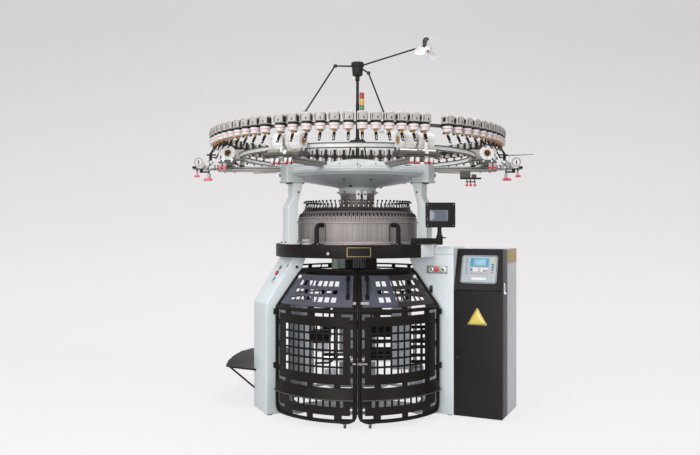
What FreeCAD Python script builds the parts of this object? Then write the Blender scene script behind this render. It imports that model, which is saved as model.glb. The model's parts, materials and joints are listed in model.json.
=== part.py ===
import FreeCAD
import Part
import Sketcher

import math
import os

# Large circular knitting machine.  Millimetres, +Z up, front towards -Y, origin on the floor
# under the machine's axis.  Every driving size lives in the spreadsheet "Dimensions".

DIMENSIONS = {
    # columns that carry the machine; a column's frame runs out from the axis, across, and up
    "leg_yaw": 25,
    "leg_clear": 10,
    "leg_inner": 661,
    "leg_outer": 831,
    "leg_width": 350,
    "leg_front": 17,
    "leg_knee": 845,
    "leg_shoulder": 915,
    "leg_top_outer": 590,
    "leg_top_inner": 480,
    "hub_radius": 150,
    "hub_height": 60,
    "arm_beam_width": 120,
    "foot_size": 40,
    # drive housing on the right
    "housing_outer": 868,
    "housing_depth": 330,
    "housing_top": 1381,
    "housing_throat": 606,
    "sheet_wall": 6,
    "room_inner": 669,
    "throat_floor": 1305,
    "throat_height": 70,
    # machine bed and its cover band
    "bed_bottom": 1303,
    "bed_top": 1403,
    "bed_radius": 698,
    "bed_bore": 470,
    "gear_pocket": 608,
    "pocket_floor": 1325,
    "band_radius": 704,
    "band_thickness": 6,
    "band_top": 1409,
    "band_start": 15,
    "band_sweep": 301.4,
    # cylinder, dial and their covers
    "cover_radius": 515,
    "cover_wall": 10,
    "cover_top": 1590,
    "cam_top": 1681,
    "cam_outer": 520,
    "cam_crest": 465,
    "cam_bore": 440,
    "cylinder_outer": 425,
    "cylinder_bore": 405,
    "cylinder_bottom": 1326,
    "cylinder_top": 1665,
    "ring_gear_radius": 600,
    "ring_gear_height": 18,
    "dial_radius": 398,
    "dial_bottom": 1650,
    "dial_thickness": 25,
    "dial_shaft": 58,
    "dial_shaft_top": 1990,
    "dial_cover_radius": 452,
    "dial_cover_bottom": 1683,
    "dial_cover_thickness": 16,
    "neck_radius": 147,
    "neck_bore": 62,
    # pillars and crown
    "pillar_inner": 578,
    "pillar_outer": 662,
    "pillar_step": 48,
    "pillar_bend_low": 1711,
    "pillar_bend_high": 1801,
    "pillar_width": 140,
    "pillar_flange": 690,
    "pillar_top": 1917,
    "crown_hub_radius": 160,
    "crown_hub_bottom": 1838,
    "crown_cone_bottom": 1890,
    "crown_radius": 640,
    "crown_rim_bottom": 1984,
    "crown_top": 2036,
    "bracket_inner": 520,
    "bracket_length": 160,
    "bracket_width": 165,
    "bracket_height": 150,
    # rings that carry feeders and bobbin units
    "arm_height": 34,
    "arm_width": 40,
    "arm_inner": 560,
    "arm_outer": 1205,
    "support_ring_inner": 985,
    "support_ring_outer": 1015,
    "support_ring_bottom": 2110,
    "support_ring_height": 58,
    "feeder_ring_inner": 1182,
    "feeder_ring_outer": 1198,
    "feeder_ring_bottom": 2269,
    "feeder_ring_height": 24,
    "feeder_groups": 6,
    "feeders_per_group": 12,
    "feeder_pitch": 4.65,
    "feeder_depth": 80,
    "feeder_width": 62,
    "feeder_height": 69,
    "feeder_wheel_radius": 27,
    "feeder_wheel_height": 70,
    "bobbin_radius": 52,
    "bobbin_length": 124,
    # gates
    "gate_radius": 752,
    "gate_bottom": 52,
    "gate_seam": 928,
    "gate_crest_radius": 523,
    "gate_crest": 1202,
    "gate_hinge_angle": 208.5,
    "gate_centre_angle": 268.4,
    "tube_radius": 12.5,
    "grille_first": 219,
    "grille_last": 261.2,
    "grille_low": 429,
    "grille_high": 783,
    "grille_rows": 6,
    "caster_radius": 15,
    # take-down and drive
    "shaft_offset": 700,
    "shaft_depth": 150,
    "shaft_radius": 20,
    "shaft_bottom": 66,
    "shaft_top": 1372,
    "mesh_gap": 0.5,
    "lower_gear_bottom": 70,
    "lower_gear_height": 20,
    "motor_bottom": 420,
    "motor_height": 260,
    "roller_radius": 34,
    "roller_reach": 310,
    # electrical cabinet
    "cabinet_width": 402,
    "cabinet_back": 505,
    "cabinet_top": 1370,
    "cabinet_wall": 5,
    "door_depth": 22,
    "door_top": 1035,
    "panel_lean": 110,
    "panel_thickness": 20,
    # mast and overhead blower
    "mast_radius": 15,
    "mast_top": 2860,
    "fan_hub_radius": 55,
    "fan_hub_height": 118,
}

doc = FreeCAD.newDocument("CircularKnittingMachine")
sheet = doc.addObject("Spreadsheet::Sheet", "Dimensions")
for row, (alias, size) in enumerate(DIMENSIONS.items(), start=1):
    sheet.set(f"A{row}", alias)
    sheet.set(f"B{row}", str(size))
    sheet.setAlias(f"B{row}", alias)
doc.recompute()

Vector = FreeCAD.Vector
Z_AXIS = Vector(0, 0, 1)
nodes = {}


# ---------------------------------------------------------------- sizes and places

def cell(alias):
    """The value that the spreadsheet holds for one alias."""
    return float(getattr(sheet, alias))


def amount(text):
    """The value of a sum such as 'leg_outer - leg_width', in millimetres."""
    total = 0.0
    sign = 1.0
    for token in str(text).split():
        if token in ("+", "-"):
            sign = 1.0 if token == "+" else -1.0
        else:
            total += sign * (cell(token) if token in DIMENSIONS else float(token))
            sign = 1.0
    return total


def formula(text):
    """The same sum as a spreadsheet expression."""
    return " ".join(f"Dimensions.{word}" if word in DIMENSIONS else word for word in str(text).split())


def polar(radius, angle, height=0.0):
    """A point at an angle in degrees round the machine's axis."""
    turn = math.radians(angle)
    return Vector(radius * math.cos(turn), radius * math.sin(turn), height)


def turned(angle, base=Vector()):
    """A placement turned about +Z by an angle in degrees."""
    return FreeCAD.Placement(base, FreeCAD.Rotation(Z_AXIS, angle))


LEFT = 180 + cell("leg_yaw")
RIGHT = -cell("leg_yaw")
REAR = 90
COLUMNS = {"left": LEFT, "right": RIGHT, "rear": REAR}
UNIT_ANGLES = (243, 297, 357, 57, 123, 183)


def beside(angle, out, across, height=0.0):
    """A point in the frame of a column: out from the axis, across it, and up."""
    return turned(angle).multVec(Vector(out, across, height))


# ---------------------------------------------------------------- objects bound to the sheet

def publish(label, piece, placement=None):
    """Give a finished object the name of its node, and its place."""
    piece.Label = label
    if placement is not None:
        piece.Placement = placement
    nodes[label] = piece
    return piece


def box(name, length, width, height, placement):
    """A box whose sides are bound to the sheet."""
    solid = doc.addObject("Part::Box", name)
    for side, size in (("Length", length), ("Width", width), ("Height", height)):
        solid.setExpression(side, formula(size))
    solid.Placement = placement
    return solid


def prism(name, sides, radius, height, placement):
    """A many-sided prism for the large turned pieces."""
    solid = doc.addObject("Part::Prism", name)
    solid.Polygon = sides
    solid.setExpression("Circumradius", formula(radius))
    solid.setExpression("Height", formula(height))
    solid.Placement = placement
    return solid


def cut(name, base, *tools):
    """Base with every tool taken away."""
    result = base
    for number, tool in enumerate(tools):
        step = doc.addObject("Part::Cut", f"{name}_{number}")
        step.Base = result
        step.Tool = tool
        result = step
    return result


def fuse(name, *shapes):
    """One solid out of shapes that meet."""
    result = doc.addObject("Part::MultiFuse", name)
    result.Shapes = list(shapes)
    return result


def origin_plane(body, role):
    """The plane of a body's own origin that has this role."""
    return next(feature for feature in body.Origin.OriginFeatures if feature.Role == role)


def outline(body, name, plane, corners):
    """A closed sketch whose corners are bound to sums of the sheet's cells."""
    sketch = body.newObject("Sketcher::SketchObject", name)
    sketch.AttachmentSupport = [(origin_plane(body, plane), "")]
    sketch.MapMode = "FlatFace"
    points = [Vector(amount(x), amount(y), 0) for x, y in corners]
    count = len(points)
    for number in range(count):
        sketch.addGeometry(Part.LineSegment(points[number], points[(number + 1) % count]), False)
    for number in range(count):
        follower = (number + 1) % count
        sketch.addConstraint(Sketcher.Constraint("Coincident", number, 2, follower, 1))
    for number, (corner, point) in enumerate(zip(corners, points)):
        for kind, axis, text, value in (("DistanceX", -2, corner[0], point.x),
                                        ("DistanceY", -1, corner[1], point.y)):
            if abs(value) < 1e-9:
                sketch.addConstraint(Sketcher.Constraint("PointOnObject", number, 1, axis))
                continue
            index = sketch.addConstraint(Sketcher.Constraint(kind, -1, 1, number, 1, value))
            sketch.setExpression(f"Constraints[{index}]", formula(text))
    return sketch


def padded_body(label, corners, depth, placement, plane="XZ_Plane", reverse=True):
    """A body padded from a section that stands in one of its origin planes."""
    body = doc.addObject("PartDesign::Body", label)
    sketch = outline(body, f"{label}_section", plane, corners)
    pad = body.newObject("PartDesign::Pad", f"{label}_pad")
    pad.Profile = sketch
    pad.setExpression("Length", formula(depth))
    pad.Reversed = reverse
    body.Placement = placement
    return body


# ---------------------------------------------------------------- shapes with flats

def feature(label, shape):
    """A node from a shape that neither a body nor a primitive makes."""
    piece = doc.addObject("Part::Feature", label)
    piece.Shape = shape
    return publish(label, piece)


def group(label, solids):
    """Like pieces that share one node as separate solids."""
    return feature(label, Part.makeCompound(solids))


def faceted(faces):
    """A solid from the corner lists of its flat faces."""
    sheets = [Part.Face(Part.makePolygon(face + face[:1])) for face in faces]
    solid = Part.Solid(Part.Shell(sheets))
    if solid.Volume < 0:
        solid.reverse()
    return solid


def stacked(rings, closed=False):
    """A solid through rings of corners, capped at both ends or closed on itself."""
    count = len(rings[0])
    pairs = list(zip(rings, rings[1:]))
    faces = [] if closed else [rings[0], rings[-1]]
    if closed:
        pairs.append((rings[-1], rings[0]))
    for near, far in pairs:
        for corner in range(count):
            follower = (corner + 1) % count
            faces.append([near[corner], near[follower], far[follower], far[corner]])
    return faceted(faces)


def sector(section, stations):
    """A section of (radius, height) corners carried round the axis from angle to angle."""
    return stacked([[polar(radius, angle, height) for radius, height in section] for angle in stations])


def lathe(section, sides=34):
    """A section of (radius, height) sums turned a full circle, with flats."""
    corners = [(amount(radius), amount(height)) for radius, height in section]
    angles = [360 * side / sides for side in range(sides)]
    return stacked([[polar(radius, angle, height) for radius, height in corners] for angle in angles], True)


def even(start, stop, steps):
    """Angles from start to stop in equal steps."""
    return [start + (stop - start) * step / steps for step in range(steps + 1)]


def ngon(sides, radius, centre, height, phase=0.0):
    """An upright prism on its base centre."""
    corners = [centre + polar(radius, phase + 360 * side / sides) for side in range(sides + 1)]
    return Part.Face(Part.makePolygon(corners)).extrude(Vector(0, 0, height))


def chamfered(points, reach):
    """A path whose sharp corners are cut off."""
    path = [points[0]]
    for before, corner, after in zip(points, points[1:], points[2:]):
        if (corner - before).getAngle(after - corner) < math.radians(20):
            path.append(corner)
            continue
        path.append(corner + (before - corner).normalize() * reach)
        path.append(corner + (after - corner).normalize() * reach)
    path.append(points[-1])
    return path


def tube(points, radius, sides=6):
    """A bent bar along straight runs with mitred corners."""
    runs = [(after - before).normalize() for before, after in zip(points, points[1:])]
    first = runs[0]
    side = first.cross(Z_AXIS if abs(first.z) < 0.9 else Vector(1, 0, 0)).normalize()
    up = side.cross(first)
    ring = []
    for number in range(sides):
        turn = 2 * math.pi * (number + 0.5) / sides
        ring.append(points[0] + side * (radius * math.cos(turn)) + up * (radius * math.sin(turn)))
    rings = [ring]
    for number, run in enumerate(runs):
        normal = run + (runs[number + 1] if number + 1 < len(runs) else run)
        centre = points[number + 1]
        ring = [point + run * ((centre - point).dot(normal) / run.dot(normal)) for point in ring]
        rings.append(ring)
    return stacked(rings)


def rod(start, end, radius, sides=8):
    """A straight bar with flats."""
    return tube([start, end], radius, sides)


def block(length, width, height, centre, angle=0.0):
    """A box about its centre, turned about +Z."""
    solid = Part.makeBox(length, width, height, Vector(-length / 2, -width / 2, -height / 2))
    solid.Placement = turned(angle, centre)
    return solid


def shaped(piece):
    """The solid of a parametric object, ready to trim other pieces with."""
    doc.recompute()
    return piece.Shape


# ---------------------------------------------------------------- floor frame and columns

def floor_frame():
    """Cast hub on the floor with three arms out to the columns, and the levelling feet."""
    hub = prism("frame_hub", 12, "hub_radius", "hub_height", turned(0))
    arms = []
    for name, angle in COLUMNS.items():
        start = beside(angle, 100, -cell("arm_beam_width") / 2, cell("leg_clear"))
        arms.append(box(f"frame_arm_{name}", "leg_inner - 100", "arm_beam_width",
                        "hub_height - leg_clear", turned(angle, start)))
    publish("base_frame", fuse("base_casting", hub, *arms))
    spread = {"left": (cell("leg_outer"), cell("leg_front") - cell("leg_width"), cell("leg_front")),
              "right": (cell("housing_outer"), 0, cell("housing_depth")),
              "rear": (cell("leg_outer"), -cell("leg_width") / 2, cell("leg_width") / 2)}
    feet = []
    size = cell("foot_size")
    for name, (outer, low, high) in spread.items():
        angle = COLUMNS[name]
        for out, across in ((outer - size, low + size), (outer - size, high - size)):
            feet.append(block(size, size, cell("leg_clear"), beside(angle, out, across, 5), angle))
    group("levelling_feet", feet)


def column(label, angle, across):
    """A folded column: upright below, leaning in to the bed above its shoulder."""
    corners = [("leg_inner", "leg_clear"), ("leg_outer", "leg_clear"), ("leg_outer", "leg_shoulder"),
               ("leg_top_outer", "bed_bottom"), ("leg_top_inner", "bed_bottom"), ("leg_inner", "leg_knee")]
    body = padded_body(label, corners, "leg_width", turned(angle, beside(angle, 0, across)))
    return publish(label, body)


def drive_housing():
    """Sheet housing on the right, with the drive shaft's room inside and an open throat at the bed."""
    corners = [("leg_inner", "leg_clear"), ("housing_outer", "leg_clear"), ("housing_outer", "housing_top"),
               ("housing_throat", "housing_top"), ("housing_throat", "bed_bottom - 8"),
               ("leg_top_inner", "bed_bottom - 8"), ("leg_inner", "leg_knee")]
    shell = padded_body("housing_shell", corners, "housing_depth", turned(RIGHT))
    inner = cell("room_inner")
    wall = cell("sheet_wall")
    floor = 20
    room = box("housing_room", "housing_outer - room_inner - sheet_wall",
               "housing_depth - sheet_wall - sheet_wall", f"housing_top - sheet_wall - {floor}",
               turned(RIGHT, beside(RIGHT, inner, wall, floor)))
    mouth = beside(RIGHT, cell("housing_throat") - 10, wall, cell("throat_floor"))
    throat = box("housing_mouth", "housing_outer - housing_throat - sheet_wall + 10",
                 "housing_depth - sheet_wall - sheet_wall", "throat_height", turned(RIGHT, mouth))
    slot = box("pinion_slot", "60", "250", "44", turned(RIGHT, beside(RIGHT, 640, 25, 58)))
    publish("right_leg", cut("housing", shell, room, throat, slot))
    return shell


# ---------------------------------------------------------------- bed, covers and knitting head

def machine_bed():
    """Round casting with a pocket for the ring gear, notched where the drive housing reaches in."""
    disc = prism("bed_disc", 36, "bed_radius", "bed_top - bed_bottom",
                 turned(0, Vector(0, 0, cell("bed_bottom"))))
    pocket = prism("bed_pocket", 24, "gear_pocket", "bed_top - pocket_floor + 5",
                   turned(0, Vector(0, 0, cell("pocket_floor"))))
    bore = prism("bed_bore_hole", 36, "bed_bore", "60", turned(0, Vector(0, 0, cell("bed_bottom") - 10)))
    across = -3
    lower = beside(RIGHT, cell("housing_throat"), across, cell("bed_bottom") - 10)
    notch = box("bed_notch", "150", "housing_depth + 6", "120", turned(RIGHT, lower))
    upper = beside(RIGHT, cell("housing_throat") - 26, across, cell("pocket_floor"))
    gap = box("pinion_gap", "60", "housing_depth + 6", "90", turned(RIGHT, upper))
    publish("table_bed", cut("bed", disc, pocket, bore, notch, gap))
    inner = cell("band_radius") - cell("band_thickness")
    section = [(inner, cell("bed_bottom")), (cell("band_radius"), cell("bed_bottom")),
               (cell("band_radius"), cell("band_top")), (inner, cell("band_top"))]
    start = cell("band_start")
    stop = start + cell("band_sweep")
    flats = [10 * number for number in range(36) if start < 10 * number < stop]
    feature("table_band", sector(section, [start, *flats, stop]))


def knitting_head():
    """Cylinder cover, cam ring, dial cover and the two needle carriers that turn inside them."""
    feature("cylinder_cover", lathe([
        ("cover_radius - cover_wall", "bed_top"), ("cover_radius", "bed_top"),
        ("cover_radius", "cover_top"), ("cover_radius - cover_wall", "cover_top")]))
    feature("cam_ring", lathe([
        ("cam_bore", "cover_top"), ("cam_outer", "cover_top"), ("cam_outer", "cover_top + 13"),
        ("cam_crest", "cam_top"), ("cam_bore", "cam_top")]))
    feature("dial_cover", lathe([
        ("neck_bore", "dial_cover_bottom"), ("dial_cover_radius", "dial_cover_bottom"),
        ("dial_cover_radius", "dial_cover_bottom + dial_cover_thickness"),
        ("neck_radius", "dial_cover_bottom + dial_cover_thickness"),
        ("neck_radius", "crown_hub_bottom"), ("neck_bore", "crown_hub_bottom")], 24))
    gear_top = "cylinder_bottom + ring_gear_height"
    ring_gear = lathe([
        ("cylinder_bore", "cylinder_bottom"), ("ring_gear_radius", "cylinder_bottom"),
        ("ring_gear_radius", gear_top), ("cylinder_bore", gear_top)], 20)
    barrel = lathe([
        ("cylinder_bore", gear_top), ("cylinder_outer", gear_top),
        ("cylinder_outer", "cylinder_top"), ("cylinder_bore", "cylinder_top")], 22)
    group("needle_cylinder", [ring_gear, barrel])
    plate = prism("dial_plate", 20, "dial_radius", "dial_thickness",
                  turned(0, Vector(0, 0, cell("dial_bottom"))))
    shaft = prism("dial_shaft_bar", 12, "dial_shaft", "dial_shaft_top - dial_bottom",
                  turned(0, Vector(0, 0, cell("dial_bottom"))))
    publish("needle_dial", fuse("dial_rotor", plate, shaft))


def pillars_and_crown():
    """Three dog-leg pillars, and the crown casting with a bracket over each."""
    corners = [("pillar_inner - 20", "bed_top"), ("pillar_flange", "bed_top"),
               ("pillar_flange", "bed_top + 16"), ("pillar_outer", "bed_top + 16"),
               ("pillar_outer", "pillar_bend_low"), ("pillar_outer - pillar_step", "pillar_bend_high"),
               ("pillar_outer - pillar_step", "pillar_top"), ("pillar_inner - pillar_step", "pillar_top"),
               ("pillar_inner", "pillar_bend_low + 22"), ("pillar_inner", "bed_top + 16"),
               ("pillar_inner - 20", "bed_top + 16")]
    pattern = shaped(padded_body("pillar_pattern", corners, "pillar_width", turned(0)))
    solids = []
    for angle in COLUMNS.values():
        solid = pattern.copy()
        solid.Placement = turned(angle, beside(angle, 0, -cell("pillar_width") / 2))
        solids.append(solid)
    group("pillars", solids)
    casting = lathe([
        ("neck_bore", "crown_hub_bottom"), ("crown_hub_radius", "crown_hub_bottom"),
        ("crown_hub_radius", "crown_cone_bottom"), ("crown_radius", "crown_rim_bottom"),
        ("crown_radius", "crown_top"), ("neck_bore", "crown_top")], 30)
    middle = cell("bracket_inner") + cell("bracket_length") / 2
    brackets = [block(cell("bracket_length"), cell("bracket_width"), cell("bracket_height"),
                      polar(middle, angle, cell("pillar_top") + cell("bracket_height") / 2), angle)
                for angle in COLUMNS.values()]
    feature("crown", casting.fuse(brackets))


# ---------------------------------------------------------------- rings above the crown

def ring_work():
    """Radial arms with posts, the support ring and the feeder ring."""
    arms = []
    low = cell("crown_top")
    high = low + cell("arm_height")
    reach = cell("arm_outer") - cell("arm_inner")
    posts = {"support_ring": 20, "feeder_ring": 18}
    for angle in UNIT_ANGLES:
        bar = block(reach, cell("arm_width"), cell("arm_height"),
                    polar(cell("arm_inner") + reach / 2, angle, (low + high) / 2), angle)
        stubs = []
        for name, thickness in posts.items():
            top = cell(f"{name}_bottom")
            radius = (cell(f"{name}_inner") + cell(f"{name}_outer")) / 2
            stubs.append(block(thickness, 30, top - high, polar(radius, angle, (top + high) / 2), angle))
        arms.append(bar.fuse(stubs))
    group("ring_arms", arms)
    for name in posts:
        base = turned(0, Vector(0, 0, cell(f"{name}_bottom")))
        outer = prism(f"{name}_outside", 36, f"{name}_outer", f"{name}_height", base)
        inner = prism(f"{name}_inside", 36, f"{name}_inner", f"{name}_height", base)
        publish(name, cut(name, outer, inner))


def feeder_angles():
    """Where the feeders sit: six even groups, the first centred on the front."""
    per_group = int(cell("feeders_per_group"))
    angles = []
    for number in range(int(cell("feeder_groups"))):
        centre = 270 + 60 * number
        for place in range(per_group):
            angles.append(centre + (place - (per_group - 1) / 2) * cell("feeder_pitch"))
    return angles


def feeders():
    """Storage feeders: a housing that sits on the ring, its hanging yarn wheel and its guide."""
    seat = cell("feeder_ring_bottom") + cell("feeder_ring_height")
    inner = cell("feeder_ring_inner") + 2
    wheel_radius = cell("feeder_wheel_radius")
    wheel_centre = cell("feeder_ring_outer") + 9 + wheel_radius
    wheel_bottom = seat - cell("feeder_wheel_height")
    housings = []
    wheels = []
    for angle in feeder_angles():
        centre = polar(inner + cell("feeder_depth") / 2, angle, seat + cell("feeder_height") / 2)
        housings.append(block(cell("feeder_depth"), cell("feeder_width"), cell("feeder_height"), centre, angle))
        hub = polar(wheel_centre, angle, wheel_bottom)
        wheels.append(ngon(5, wheel_radius, hub, cell("feeder_wheel_height"), angle))
        root = [hub + polar(7, angle + 120 * corner) for corner in range(4)]
        slant = polar(34, angle, -66)
        housings.append(Part.Face(Part.makePolygon(root)).extrude(slant))
    group("feeder_housings", housings)
    group("feeder_wheels", wheels)


def bobbin_units():
    """Six elastane units: base and end plates, two drive rollers, a sensor bar, and two bobbins."""
    frames = []
    bobbins = []
    base = cell("crown_top") + cell("arm_height")
    plate = 6
    roller = 15
    roller_height = base + 34
    middle = 1102
    spread = 35
    half = 144
    lift = math.sqrt((roller + cell("bobbin_radius") + 0.5) ** 2 - spread ** 2)
    for angle in UNIT_ANGLES:
        frames.append(block(135, 2 * half + 24, plate, beside(angle, middle, 0, base + plate / 2), angle))
        for across in (-half - plate, half + plate):
            frames.append(block(135, 12, 56, beside(angle, middle, across, base + plate + 28), angle))
        for out in (middle - spread, middle + spread):
            frames.append(rod(beside(angle, out, -half, roller_height), beside(angle, out, half, roller_height),
                              roller, 4))
        bar = cell("arm_outer") + 100
        frames.append(block(200, 260, 24, beside(angle, bar, 0, base - 17), angle))
        frames.append(block(24, 220, 50, beside(angle, bar + 70, 0, base - 54), angle))
        for side in (-1, 1):
            near = beside(angle, middle, side * 12, roller_height + lift)
            far = beside(angle, middle, side * (12 + cell("bobbin_length")), roller_height + lift)
            bobbins.append(rod(near, far, cell("bobbin_radius"), 6))
    group("elastane_frames", frames)
    group("elastane_bobbins", bobbins)


# hub centre, lean of the axis from upright in degrees, motor radius, motor length and reach of the blades
FANS = {
    "left_fan": (Vector(-454, 60, 2484), 0, 30, 72, 88),
    "right_fan": (Vector(262, 40, 2384), 0, 30, 75, 88),
    "top_fan": (Vector(607, -30, 3084), 50, 36, 180, 118),
}
FAN_BOSS_TOP = 16


def fan_rotor(reach):
    """Three pitched blades on a boss, about the origin with the axis along Z."""
    boss_radius = 28
    first = 50
    pieces = [ngon(6, boss_radius, Vector(0, 0, -20), 20 + FAN_BOSS_TOP, first - 30)]
    flat = boss_radius * math.cos(math.radians(30))
    for number in range(3):
        blade = Part.makeBox(reach - flat, 50, 4, Vector(flat, -25, -2))
        pitch = FreeCAD.Rotation(Vector(1, 0, 0), 28)
        turn = FreeCAD.Rotation(Z_AXIS, first + 120 * number)
        blade.Placement = FreeCAD.Placement(Vector(), turn.multiply(pitch))
        pieces.append(blade)
    return Part.makeCompound(pieces)


def mast_and_blower():
    """Mast on its trestle, the turning hub with three arms, three blade sets and the signal tower."""
    crown = cell("crown_top")
    trestle_top = 2300
    mast = ngon(8, cell("mast_radius"), Vector(0, 0, crown), cell("mast_top") - crown)
    plate = ngon(6, 120, Vector(0, 0, crown), 12)
    flange = ngon(6, 72, Vector(0, 0, trestle_top - 12), 12)
    struts = [rod(polar(95, angle, crown + 6), polar(60, angle, trestle_top - 6), 7, 4)
              for angle in (30, 150, 270)]
    feature("mast", mast.fuse([plate, flange, *struts]))
    low = cell("mast_top") + 2
    hub = ngon(12, cell("fan_hub_radius"), Vector(0, 0, low), cell("fan_hub_height"))
    arms = [tube([Vector(-40, 0, 2948), Vector(-196, 0, 2951), Vector(-454, 60, 2569)], 7, 4),
            tube([Vector(40, 0, 2925), Vector(96, 0, 2889), Vector(262, 40, 2470)], 7, 4),
            tube([Vector(40, 0, 2955), Vector(590, 36, 3135)], 8, 4)]
    motors = []
    for label, (centre, lean, motor_radius, motor_length, reach) in FANS.items():
        place = FreeCAD.Placement(centre, FreeCAD.Rotation(Vector(1, 0, 0), -lean))
        motor = ngon(6, motor_radius, Vector(0, 0, FAN_BOSS_TOP + 0.5), motor_length)
        motor.Placement = place
        motors.append(motor)
        rotor = fan_rotor(reach)
        rotor.Placement = place
        feature(label, rotor)
    feature("fan_hub", hub.fuse([*arms, *motors]))
    tower = ngon(8, 21, Vector(38, -24, 2480), 232)
    bracket = block(26, 16, 12, Vector(22, -18, 2486))
    feature("signal_tower", tower.fuse([bracket]).cut(mast))


# ---------------------------------------------------------------- things fixed to the bed and columns

def grab_handles():
    """Two black tubes that rise from the bed and turn in to the cover."""
    bars = []
    bed = cell("bed_top")
    for angle in (237, 303):
        path = [polar(600, angle, bed + 4), polar(600, angle, 1528), polar(580, angle, 1558),
                polar(517, angle, 1562)]
        bars.append(tube(path, 19).fuse([block(70, 90, 8, polar(610, angle, bed + 4), angle)]))
    group("grab_handles", bars)


STATIONS = {
    "left": ("left_button_upper", "left_button_stop", "left_button_lower"),
    "right": ("right_button_yellow", "right_button_stop", "right_button_green"),
}


def station_place(side):
    """Where a button station sits: X along its row, Z out of the face that carries it."""
    if side == "right":
        centre = beside(RIGHT, 728, 0, 1198)
        along = beside(RIGHT, 1, 0)
        facing = beside(RIGHT, 0, -1)
    else:
        low = beside(LEFT, cell("leg_outer"), 0, cell("leg_shoulder"))
        high = beside(LEFT, cell("leg_top_outer"), 0, cell("bed_bottom"))
        along = (high - low).normalize()
        facing = along.cross(beside(LEFT, 0, 1))
        if facing.z < 0:
            facing = facing * -1
        centre = low + (high - low) * 0.62 + beside(LEFT, 0, -120)
    across = facing.cross(along)
    return FreeCAD.Placement(FreeCAD.Matrix(along.x, across.x, facing.x, centre.x,
                                            along.y, across.y, facing.y, centre.y,
                                            along.z, across.z, facing.z, centre.z, 0, 0, 0, 1))


def button_stations():
    """Station plates with a hole for each button, and the sprung buttons in them."""
    plates = []
    thickness = 12
    pitch = 53
    for side, names in STATIONS.items():
        place = station_place(side)
        plate = Part.makeBox(178, 66, thickness, Vector(-89, -33, 0))
        for number, name in enumerate(names):
            stop = number == 1
            radius = 16 if stop else 13
            spot = Vector((number - 1) * pitch, 0, 0)
            plate = plate.cut(ngon(6, radius + 1, spot, thickness))
            cap = ngon(6, radius, spot + Vector(0, 0, 5), 21 if stop else 15)
            publish(name, feature(name, cap), place)
        plate.Placement = place
        plates.append(plate)
    group("button_plates", plates)


def operator_screen():
    """Arm on the bed with a stem, and the screen housing that it carries."""
    bed = cell("bed_top")
    pivot = Vector(455, -450, bed)
    stem = Vector(665, -420, bed)
    middle = (pivot + stem) / 2
    boss = ngon(10, 24, pivot + Vector(0, 0, 0.5), 55.5)
    bar = block(212, 46, 34, middle + Vector(0, 0, 39), math.degrees(math.atan2(30, 210)))
    knuckle = ngon(10, 27, stem + Vector(0, 0, 2), 78)
    feature("screen_arm", boss.fuse([bar, knuckle]))
    post = ngon(8, 20, stem + Vector(0, 0, 80.5), 70)
    case = Part.makeBox(240, 52, 202, Vector(stem.x - 115, stem.y - 32, 1545))
    window = Part.makeBox(162, 6, 100, Vector(stem.x - 77, stem.y - 33, 1590))
    feature("screen_housing", case.cut(window).fuse([post]))


# ---------------------------------------------------------------- electrical cabinet

def cabinet():
    """Shell, inverter on its plate, door, leaning control panel, latch and lock."""
    outer = cell("housing_outer")
    clear = cell("leg_clear")
    gap = 1.5

    def at(out, across, height):
        """A place measured from the outer wall of the housing."""
        return turned(RIGHT, beside(RIGHT, outer + out, across, height))

    rear = "door_depth + 0.5"
    case = padded_body("cabinet_case", [
        (rear, "leg_clear"), ("cabinet_back", "leg_clear"), ("cabinet_back", "cabinet_top"),
        ("panel_lean + door_depth", "cabinet_top"), (rear, "door_top")],
        "cabinet_width", at(0, 0, 0), "YZ_Plane", False)
    room = padded_body("cabinet_room", [
        ("door_depth - 5", "leg_clear + 20"), ("cabinet_back - cabinet_wall", "leg_clear + 20"),
        ("cabinet_back - cabinet_wall", "cabinet_top - cabinet_wall"),
        ("panel_lean + door_depth - 5", "cabinet_top - cabinet_wall"),
        ("door_depth - 5", "door_top - 10")],
        "cabinet_width - cabinet_wall - cabinet_wall", at(cell("cabinet_wall"), 0, 0), "YZ_Plane", False)
    publish("cabinet_shell", cut("cabinet", case, room))
    plate = box("mounting_plate", "340", "10", "1080", at(31, 490, 120))
    drive = box("inverter_case", "190", "150", "320", at(60, 341, 640))
    terminal = box("terminal_rail", "250", "40", "60", at(70, 451, 320))
    publish("inverter", fuse("inverter_board", plate, drive, terminal))
    publish("cabinet_door", box("door_leaf", f"cabinet_width - {gap}", "door_depth",
                                f"door_top - leg_clear - {gap}", at(gap, 0, clear)))
    publish("control_panel", padded_body("panel_leaf", [
        ("0", "0"), ("panel_thickness", "0"),
        ("panel_lean + panel_thickness", "cabinet_top - door_top - 2"),
        ("panel_lean", "cabinet_top - door_top - 2")],
        f"cabinet_width - {gap}", at(gap, 0, cell("door_top") + 2), "YZ_Plane", False))
    publish("panel_latch", box("latch_lever", "21", "26", "62", at(cell("cabinet_width") + 0.5, 30, 1006)))
    publish("cabinet_lock", box("lock_lever", "16", "10", "104", at(30, -10.5, 471)))


# ---------------------------------------------------------------- gates

def gate_tube():
    """The bent tube round a gate, closed at the bottom by its weld."""
    steps = 5
    angles = even(cell("gate_hinge_angle"), cell("gate_centre_angle"), steps)
    wide = cell("gate_radius")
    low = [polar(wide, angle, cell("gate_bottom")) for angle in angles]
    high = [polar(cell("gate_crest_radius"), angle, cell("gate_crest")) for angle in angles]
    weld = (low[2] + low[3]) / 2
    hair = (low[3] - low[2]).normalize() * 0.1
    path = [weld - hair, *reversed(low[:3]), polar(wide, angles[0], cell("gate_seam")), *high,
            polar(wide, angles[-1], cell("gate_seam")), *reversed(low[3:]), weld + hair]
    return tube(chamfered(path, 34), cell("tube_radius"))


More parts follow.
